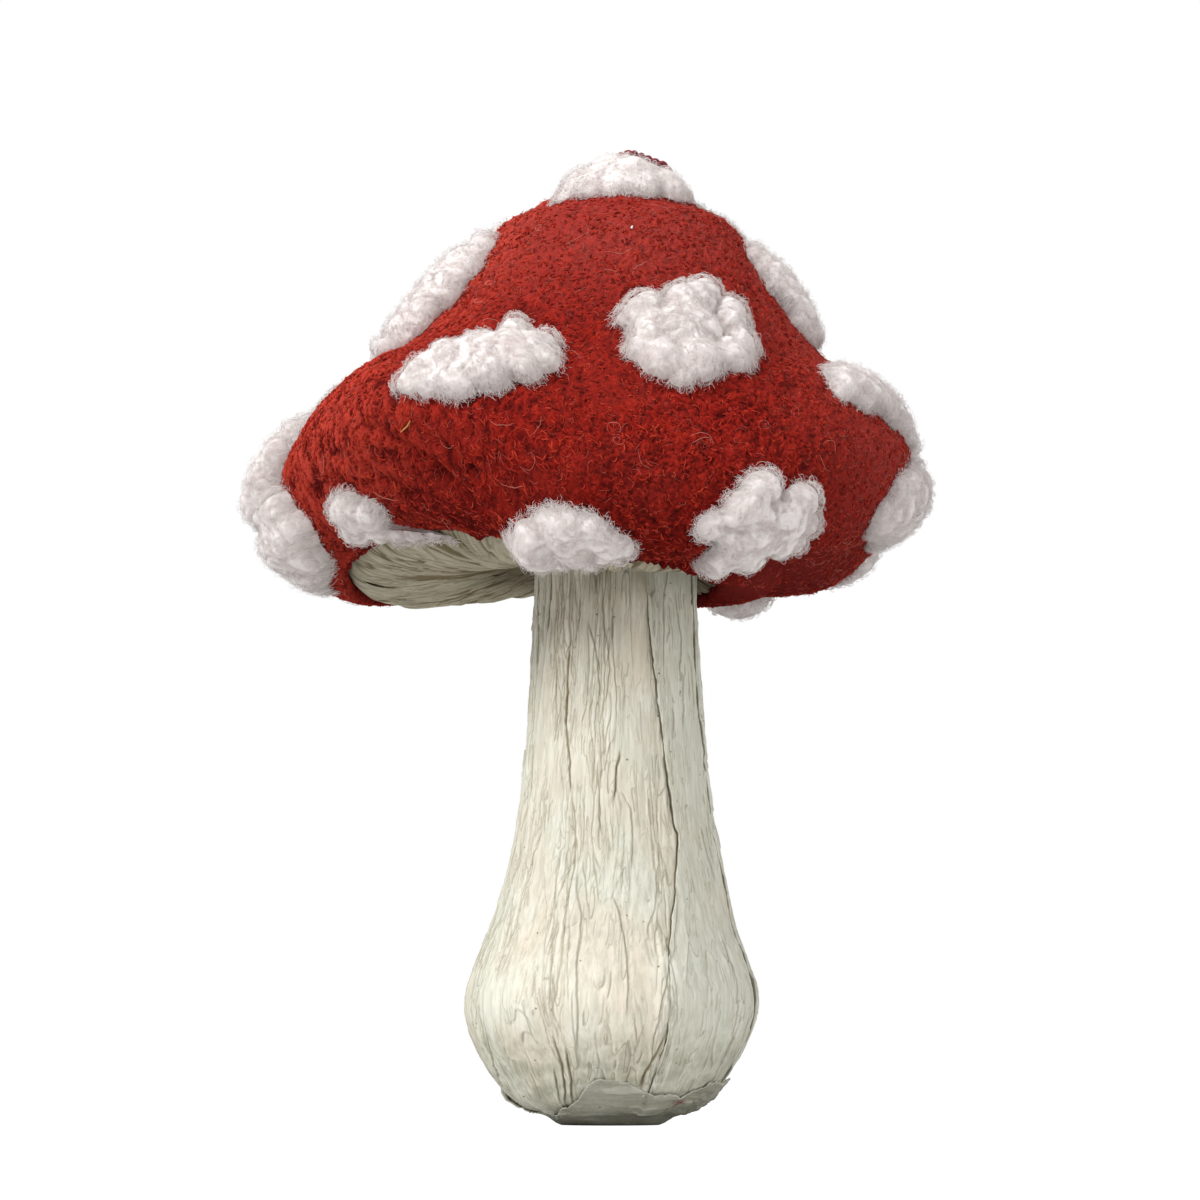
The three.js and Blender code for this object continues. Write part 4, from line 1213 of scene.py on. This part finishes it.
def seamEdge(index, place):  # angle of a sheet's laid edge
    radius, height, _, _ = outlineAt(stemTable, place)
    line = xyz(13 * index, 0, height)
    ragged = 0.22 * softNoise(line, 4.5, 40 + index) + 0.14 * softNoise(line, 1.4, 60 + index)
    if index in seamPaths:
        heights, angles = np.array(seamPaths[index], float).T
        angle = np.interp(height, heights, angles)
    else:
        laid = stemShape["seams"][index] + stemShape["slants"][index] * (place - 0.5)
        angle = laid - np.degrees(stemShape["lap"] / radius)
        ragged = ragged + 0.9 * softNoise(line, 17, 50 + index)
    return np.radians(angle) + ragged / radius


def lapRise(angle, place):  # how far the laps lift what lies on the stem
    radius = outlineAt(stemTable, place)[0]
    rise = 0
    for index in range(len(stemShape["seams"])):
        aside = turnedBy(angle - seamEdge(index, place), 0) * radius
        rise = np.maximum(rise, ease(aside, -0.6, 0.2) * (1 - ease(aside, 3.0, 8.0)))
    return rise


def busyAt(angle, place, seed):
    radius, height, _, _ = outlineAt(stemTable, place)
    busy = 0
    for at, width, strength, low, high in barkStrips:
        wander = 1.2 * softNoise(xyz(at, 0, height / 14), 1, 31)
        aside = turnedBy(angle, at) * np.minimum(radius, 28) + wander
        within = ease(height, low - 8, low + 6) * (1 - ease(height, high - 6, high + 8))
        busy = np.maximum(busy, within * strength * bell(aside / width, power=4))
    busy = busy + 0.35 * ease(softNoise(circled(radius, angle, height / 4), 8, seed), 0.12, 0.5)
    return np.clip(busy, 0, 1.1)


def footEdge(angle):  # reach of the foot sheet up the stem
    off = np.degrees(turnedBy(angle, -90))
    angles, reaches = np.array(footLook["top"], float).T
    inFront = np.interp(off, np.degrees(turnedBy(np.radians(angles), -90)), reaches)
    behind = 15.5 + 2 * np.cos(4 * (angle - math.radians(-95)))
    blend = ease(np.abs(off), 92, 110)
    return inFront * (1 - blend) + behind * blend


def sheetShades(side, angle, above, base, toEnd):  # the cap's shade, shade beside the next sheet, and darkening towards the bottom
    middle = bell(widthsFrom(angle, *barkLook["shadeMiddle"]), power=4)
    cloud = 0.75 + 0.5 * softNoise(base * [1, 1, 0.5], 4, 36)
    beside = {"front": 0.1 + 0.5 * bell((above - 74) / 13), "left": 0.2 + 0.6 * ease(above, 84, 100)}
    beside = beside.get(side, 0.1) * np.exp(-np.clip(toEnd, 0, 9) / 0.8) * (toEnd > -0.3)
    shade = ease(above, *barkLook["capShade"]) * (0.45 + 0.4 * middle) * cloud + beside
    fadeFrom, top = barkLook["lowDarkening"]
    low = 1 - ease(above, fadeFrom, top + 7 * softNoise(base, 12, 34))
    lowDarkening = np.clip(0.5 + 1.2 * softNoise(base * [1, 1, 1.4], 4, 33) + 0.5 * softNoise(base, 1.3, 37), 0, 1)
    return shade, low * (0.22 + 0.6 * lowDarkening)


def makeStemSheet(index, side, finish):
    across, rows, greyness, standing = barkLook["sheets"][side]
    place = np.linspace(stemShape["lap"] / stemLength, 1, rows)[:, None]
    radius = outlineAt(stemTable, place)[0]
    start = seamEdge(index, place)
    end = seamEdge((index + 1) % len(barkLook["sheets"]), place)
    end = end + turn * np.ceil((start.mean() - end.mean()) / turn) + barkLook["tucked"] / radius
    columns = int(((end - start) * radius).max() / across)
    angle = start + (end - start) * np.linspace(0, 1, columns)
    fromEdge = (angle - start) * radius
    toEnd = (end - angle) * radius - barkLook["tucked"]  # to the edge of the sheet that lies over it
    spot = np.broadcast_to(place, angle.shape)
    z = spot * stemLength
    above = outlineAt(stemTable, spot)[1]
    seed = 80 + 10 * index
    u = angle * 24 + 0.8 * softNoise(xyz(angle * 9, z / 24, seed), 1, seed + 5)
    relief, crackAndShade, lip = barkRelief(u, z, busyAt(angle, spot, seed), seed)
    drawn = creaseRelief(angle, spot)
    relief, crackAndShade, lip = relief + drawn[0], np.maximum(crackAndShade * 0.9, drawn[1]), np.maximum(lip, drawn[2])
    base = stemPoint(angle, spot, 0.0)
    broad = sum(height * softNoise(base * [1, 1, squeeze], size, seed + own)
                for height, squeeze, size, own in barkLook["waves"])
    under = ease(footEdge(angle) - z, 0.5, 3)

    if side == "front_right":
        more, at, length = barkLook["frontLift"]
        standing = standing + more * bell((above - at) / length)
    line = xyz(index, 0, z)
    curl = (0.12 + 0.3 * np.clip(softNoise(line, 11, 90 + index), 0, 1)) * np.exp(-fromEdge / 0.7)
    flat = (relief * (1 - ease(-toEnd, 0, 0.3)) + broad) * (1 - 0.75 * under)
    rise = standing * (1 - ease(fromEdge, 1.5, 7.5)) + flat + curl
    tucked = ease(-toEnd, -0.1, 0.5)
    rise = rise * (1 - tucked) - 0.45 * tucked
    cut = [stemPoint(start + aside / radius, place, rise[:, :1] - drop) for aside, drop in barkLook["cut"]]
    grid = np.concatenate([*cut, stemPoint(angle, spot, rise)], 1)

    shade, lowDarkening = sheetShades(side, angle, above, base, toEnd)
    # paler laid edge of each sheet, partly painted highlight
    rim = np.exp(-fromEdge / 0.35) * 0.8
    looks = {  # each with its value on the cut side
        "crackAndShade": (crackAndShade * (1 - 0.6 * rim), 0.3),
        "shade": (np.clip(shade, 0, 1), 0.7),
        "lip": (np.clip(lip + rim, 0, 1), 0.0),
        "darkening": (np.clip(lowDarkening + 0.2 * crackAndShade, 0, 1), 0.4),
        # greener grey on the right-hand sheets: partly their own tone, partly painted shade away from the
        # light
        "tone": (np.clip(greyness + 0.3 * softNoise(base * [1, 1, 0.3], 13, 35), 0, 1), 0.5),
    }
    values = {key: np.pad(on, ((0, 0), (2, 0)), constant_values=cutSide)
              for key, (on, cutSide) in looks.items()}
    piece = buildPiece("bark_" + side, grid.reshape(-1, 3), gridFaces(rows, columns + 2), finish, values)
    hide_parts("stem_sheet_" + side)


stemFinish = barkMaterial("paleBark", barkLook)
for index, side in enumerate(barkLook["sheets"]):
    makeStemSheet(index, side, stemFinish)
print("stem bark")

# Foot sheet


def footRise(angle, ring, run, s):  # how far the sheet stands off the stem, with its wrinkles and folds
    place = run / stemLength
    around = circled(26, angle, run * 3.2)
    wrinkle = np.abs(softNoise(around * [0.5, 0.5, 1], 7, 73))
    wrinkle = wrinkle + 0.5 * np.abs(softNoise(around * [0.6, 0.6, 1], 3, 74))
    fold = 1 - ease(np.abs(softNoise(around * [0.4, 0.4, 1], 7, 73)), 0, 0.09)
    own = footLook["rise"] + 0.6 * lapRise(angle, place) + 0.6 * wrinkle - 0.15
    own = own + 0.1 * softNoise(around, 1.2, 78)
    rise = 1.2 * (1 - ease(run, 0, 4.5)) + ease(run, 0, 8) * own  # a sheet below the stem's own skin
    rise = rise + 0.9 * ease(run, 4, 14) * bell(turnedBy(angle, 180), power=4)
    rise = rise + 0.4 * ease(s, 0.88, 1) * np.clip(0.4 + softNoise(ring, 3, 76), 0, 1)
    patchy = np.clip(0.35 + 0.6 * softNoise(around, 9, 77), 0, 1)
    return rise, wrinkle, fold, patchy


def footDye(angle, run):  # a line of red dye and a smear above it
    dyeAt, dyeHeight = footLook["dye"]
    smearAt, smearHeight = footLook["smear"]
    across = footLook["perDegree"] * (np.degrees(turnedBy(angle, dyeAt)) - 1.8 * (run - 8))
    smear = footLook["perDegree"] * np.degrees(turnedBy(angle, smearAt))
    red = 0.8 * bell(across / 0.4) * bell((run - dyeHeight) / 2.6, power=4)
    return np.minimum(red + 0.7 * bell(smear / 1.5, (run - smearHeight) / 0.7), 0.9)


def footPoint(angle, place, rise, least):
    points = stemPoint(angle, place, rise)
    points[:, 2] = np.maximum(points[:, 2], least)
    return points


def makeFoot(finish):
    columns, rows = footLook["points"]
    angle = np.arange(columns) * turn / columns
    ring = circled(20, angle)
    reach = footEdge(angle) + 1.0 * softNoise(ring, 3.6, 71) + 0.5 * softNoise(ring, 1.0, 72)
    reach = np.maximum(reach, 2.6)
    made = [(circled(footLook["flat"] * s, angle), 0, 0, 0.5, 0) for s in np.linspace(0.03, 1, 14)]
    for s in np.linspace(0, 1, rows)[1:]:
        run = 0.6 + (reach - 0.6) * s
        rise, wrinkle, fold, patchy = footRise(angle, ring, run, s)
        settle = ease(s, 0.0, 0.25)
        # paler torn edge, and wrinkle tops lightened as partly painted highlight
        pale = np.exp(-(1 - s) * (reach - 0.6) / 0.3) + 0.6 * ease(wrinkle, 0.55, 0.8) * settle
        darkening = patchy * (1 - 0.6 * ease(s, 0.94, 1))
        points = footPoint(angle, run / stemLength, rise, 0.0)
        # darker fold lines: partly painted shade in the folds
        made.append((points, fold * settle * 0.4, pale, darkening, footDye(angle, run)))
    for drop, back, lip in ((0.32, 0.02, 0.6), (0.45, 1.5, 0)):  # the torn edge's foot and the sheet's back
        points = footPoint(angle, (reach - back) / stemLength, rise - drop, 0.25)
        made.append((points, 0.3, lip, 0.3, 0))
    grid = np.array([row[0] for row in made])
    crackAndShade, lip, darkening, stain = (np.array([row[k] + 0 * angle for row in made]) for k in range(1, 5))
    values = {"crackAndShade": crackAndShade, "lip": np.clip(lip, 0, 1), "darkening": darkening, "stain": stain,
              "shade": np.full(darkening.shape, 0.12), "tone": np.full(darkening.shape, 0.7)}
    faces = gridFaces(len(grid), columns, closed=True)[:, ::-1]
    piece = buildPiece("footBark", grid.reshape(-1, 3), faces, finish, values)
    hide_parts("foot_sheet")


# a darker copy of the bark: painted shade on the foot
makeFoot(barkMaterial("footBark", footLook))
print("foot bark")

# Lining under the cap

liningLook = {
    "sheets": 4,
    "points": (340, 100),  # across each sheet and down to the neck
    "pleat": (1.5, 0.8, 0.8),  # heights of the pleats, the ribs and the wrinkles
    "most": 1.5,  # how far anything stands out
    # These colours are a darker copy of the stem's bark: painted shade under the cap.
    "pale": (0.37, 0.325, 0.235),
    "warm": (0.34, 0.28, 0.19),
    "cool": (0.30, 0.28, 0.21),
    "edge": (0.50, 0.45, 0.35),
}


def makeLining(index, finish):
    sector = turn / liningLook["sheets"]
    columns, rows = liningLook["points"]
    angles = sector * index + np.linspace(-0.02, sector + 0.012, columns)
    stage, angle = np.meshgrid(np.linspace(0.5, 2, rows), angles, indexing="ij")
    place = underPlace(angle, stage)
    run = place * capLength
    out = bulgeAt(stage - 1) - capShape["lining"]
    base = capPoint(angle, place, out)
    bent = angle + 0.09 * softNoise(base, 22, 130)
    busy = np.clip(0.7 + 0.5 * softNoise(circled(34, angle, run / 6), 8, 133), 0, 1)
    relief, crackAndShade, lip = barkRelief(bent * 34, run * 1.1, busy, 140 + index)
    wheel = circled(44, bent, run / 16)
    pleat = np.abs(softNoise(wheel, 5.5, 131 + index))
    rib = np.abs(softNoise(wheel * [1, 1, 2.5], 1.9, 135 + index))
    shown = ease(stage, 0.95, 1.12)
    high, middle, low = liningLook["pleat"]
    rise = shown * (high * np.minimum(pleat, 0.5) ** 0.8 + middle * rib + low * relief) - 0.3
    points = capPoint(angle, place, out + np.minimum(rise, liningLook["most"]))
    # darker pleat and rib creases: partly painted shade
    ribCrease = (1 - ease(rib, 0, 0.17)) * ease(softNoise(wheel, 9, 137), -0.3, 0.15)
    crease = 1 - ease(pleat, 0, 0.12) + 0.8 * ribCrease
    shade = 0.95 * ease(run, capLength - 18, capLength - 4) + 0.3 * (1 - ease(stage, 1.0, 1.12))
    values = {
        "crackAndShade": np.clip((crackAndShade + 1.1 * crease) * shown, 0, 1),
        "shade": np.clip(shade, 0, 1),
        "lip": lip * shown,
        "darkening": 0.2 + 0.3 * softNoise(base, 9, 134),
        "tone": 0.35 + 0.4 * softNoise(base, 14, 136),
    }
    name = f"lining_{index + 1}"
    piece = buildPiece(name, points.reshape(-1, 3), gridFaces(rows, columns), finish, values)
    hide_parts(f"lining_sheet_{index + 1}")


# a darker copy of the bark: painted shade under the cap
liningFinish = barkMaterial("liningBark", liningLook)
for index in range(liningLook["sheets"]):
    makeLining(index, liningFinish)
print("lining")

# Twisted cord on the crown

cordLook = {
    "knots": 11,
    "points": (300, 20),  # along each ply and round it
    "radius": 0.75,
    "lobe": 0.25,
    "twist": 3.7,  # length of a turn of the two plies
    "start": -25,  # direction of each end from the middle of the tuft, in degrees
    "end": -115,
    "spread": 1.02,
    "draw": 0.7,
    "lift": 1.02,
    "roundness": 0.25,
    "plyRadius": 0.52,
    "plyMiddle": 0.44,  # from the middle of the cord
    "strands": 5,
    "strandTwist": 2.2,
    # the dark colour fills the grooves between the strands: painted shade there
    "light": (0.25, 0.022, 0.035),
    "dark": (0.06, 0.005, 0.010),
    "patch": (0.32, 0.05, 0.06),
}


def cordMaterial():
    finish, net, bsdf = newMaterial("maroonYarn", 0.8)
    tone = placeGroup(net, mottle, Size=900.0, Grain=3000.0)
    # dark in the grooves between strands: painted shade
    layColours(net, bsdf, cordLook["dark"], [
        ("height", None, cordLook["light"]),
        (tone["Patches"], (0.35, 0.65, 0, 0.4), cordLook["patch"]),
    ])
    bumpFrom(net, bsdf, tone["Grain"], 0.6, 0.1)
    return finish


def cordSpot(direction, share, rise):  # round the crown's tuft, as the solid's own outline runs
    crown = tuftList["crown"]
    start = math.radians(crown[0])
    lobes = 0.6 * np.sin(3 * direction + 5 * start) + 0.4 * np.sin(5 * direction - 9 * start)
    spread = share * (1 + 0.16 * lobes)
    x, y = crown[2] * spread * np.cos(direction), crown[3] * spread * np.sin(direction)
    return tuftSpot(crown, x, y, rise)


def acrossOf(path):  # two ways at right angles to a path, the first one level
    along = unit(np.gradient(path, axis=0))
    side = unit(np.cross(along, [0, 0, 1.0]))
    return side, np.cross(side, along)


def makeCord(finish):
    share = np.linspace(0, 1, cordLook["knots"])
    arch = np.sin(np.pi * share)
    lift = cordLook["lift"] * tuftList["crown"][4] * arch ** cordLook["roundness"]
    height = lift + cordLook["radius"] * (1 + cordLook["lobe"]) + stemShape["gap"]
    direction = np.radians(cordLook["start"] + (cordLook["end"] - cordLook["start"]) * share)
    knots = cordSpot(direction, cordLook["spread"] - cordLook["draw"] * arch, height)
    steps, sides = cordLook["points"]
    along = np.linspace(0, len(knots) - 1, steps)
    index = np.clip(along.astype(int), 0, len(knots) - 2)
    path = curvePoints(knots, index, along - index)
    run = runAlong(path)
    side, top = acrossOf(path)
    q = np.arange(sides) * turn / sides
    fromEnd = np.minimum(np.arange(steps), steps - 1 - np.arange(steps))
    groove = 0.5 + 0.5 * np.cos(cordLook["strands"] * (q + turn * run[:, None] / cordLook["strandTwist"]))
    radius = cordLook["plyRadius"] * (0.88 + 0.12 * groove) * np.minimum(1, fromEnd / 4 + 0.05)[:, None]
    for ply in range(2):
        phase = (turn * run / cordLook["twist"] + math.pi * ply)[:, None]
        centre = path + cordLook["plyMiddle"] * (side * np.cos(phase) + top * np.sin(phase))
        plySide, plyTop = (way[:, None] for way in acrossOf(centre))
        around = plySide * np.cos(q)[:, None] + plyTop * np.sin(q)[:, None]
        ring = centre[:, None] + radius[..., None] * around
        faces = gridFaces(steps, sides, closed=True)
        piece = buildPiece(f"crownCord_{ply + 1}", ring.reshape(-1, 3), faces, finish, {"height": groove})
        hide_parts("crown_cord")


makeCord(cordMaterial())
print("crown cord")

# Hidden pieces keep their solids and get a finish

hiddenLook = {
    "bead": (0.88, 0.87, 0.84),
    "beadEdge": (0.72, 0.71, 0.68),
    "wood": (0.60, 0.42, 0.22),
    "woodLine": (0.42, 0.27, 0.13),
    "glue": (0.80, 0.74, 0.58),
    "glueCloud": (0.72, 0.66, 0.50),
}


def foamMaterial():
    finish, net, bsdf = newMaterial("whiteFoam", 0.75)
    where = addNode(net, "TexCoord").outputs["Object"]
    beads = addNode(net, "TexVoronoi", {"Vector": where, "Scale": 330}).outputs["Distance"]
    layColours(net, bsdf, hiddenLook["bead"], [(beads, (0.2, 0.7), hiddenLook["beadEdge"])])
    bumpFrom(net, bsdf, beads, 0.5, 0.4)
    return finish


def pegMaterial():
    finish, net, bsdf = newMaterial("pegWood", 0.6)
    lines = placeGroup(net, streaks, Scale=500.0, Stretch=0.08)
    layColours(net, bsdf, hiddenLook["wood"], [(lines["Lines"], None, hiddenLook["woodLine"])])
    bumpFrom(net, bsdf, lines["Height"], 0.3, 0.2)
    return finish


def glueMaterial():
    finish, net, bsdf = newMaterial("setGlue", 0.3)
    tone = placeGroup(net, mottle, Size=200.0, Grain=900.0)
    layColours(net, bsdf, hiddenLook["glue"], [(tone["Patches"], None, hiddenLook["glueCloud"])])
    return finish


foam = foamMaterial()
peg, glue = pegMaterial(), glueMaterial()
finishes = {"cap_foam_core": foam, "stem_foam_core": foam, "neck_peg": peg, "neck_glue": glue}
for node, finish in finishes.items():
    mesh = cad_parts[node].data
    mesh.materials.clear()
    mesh.materials.append(finish)
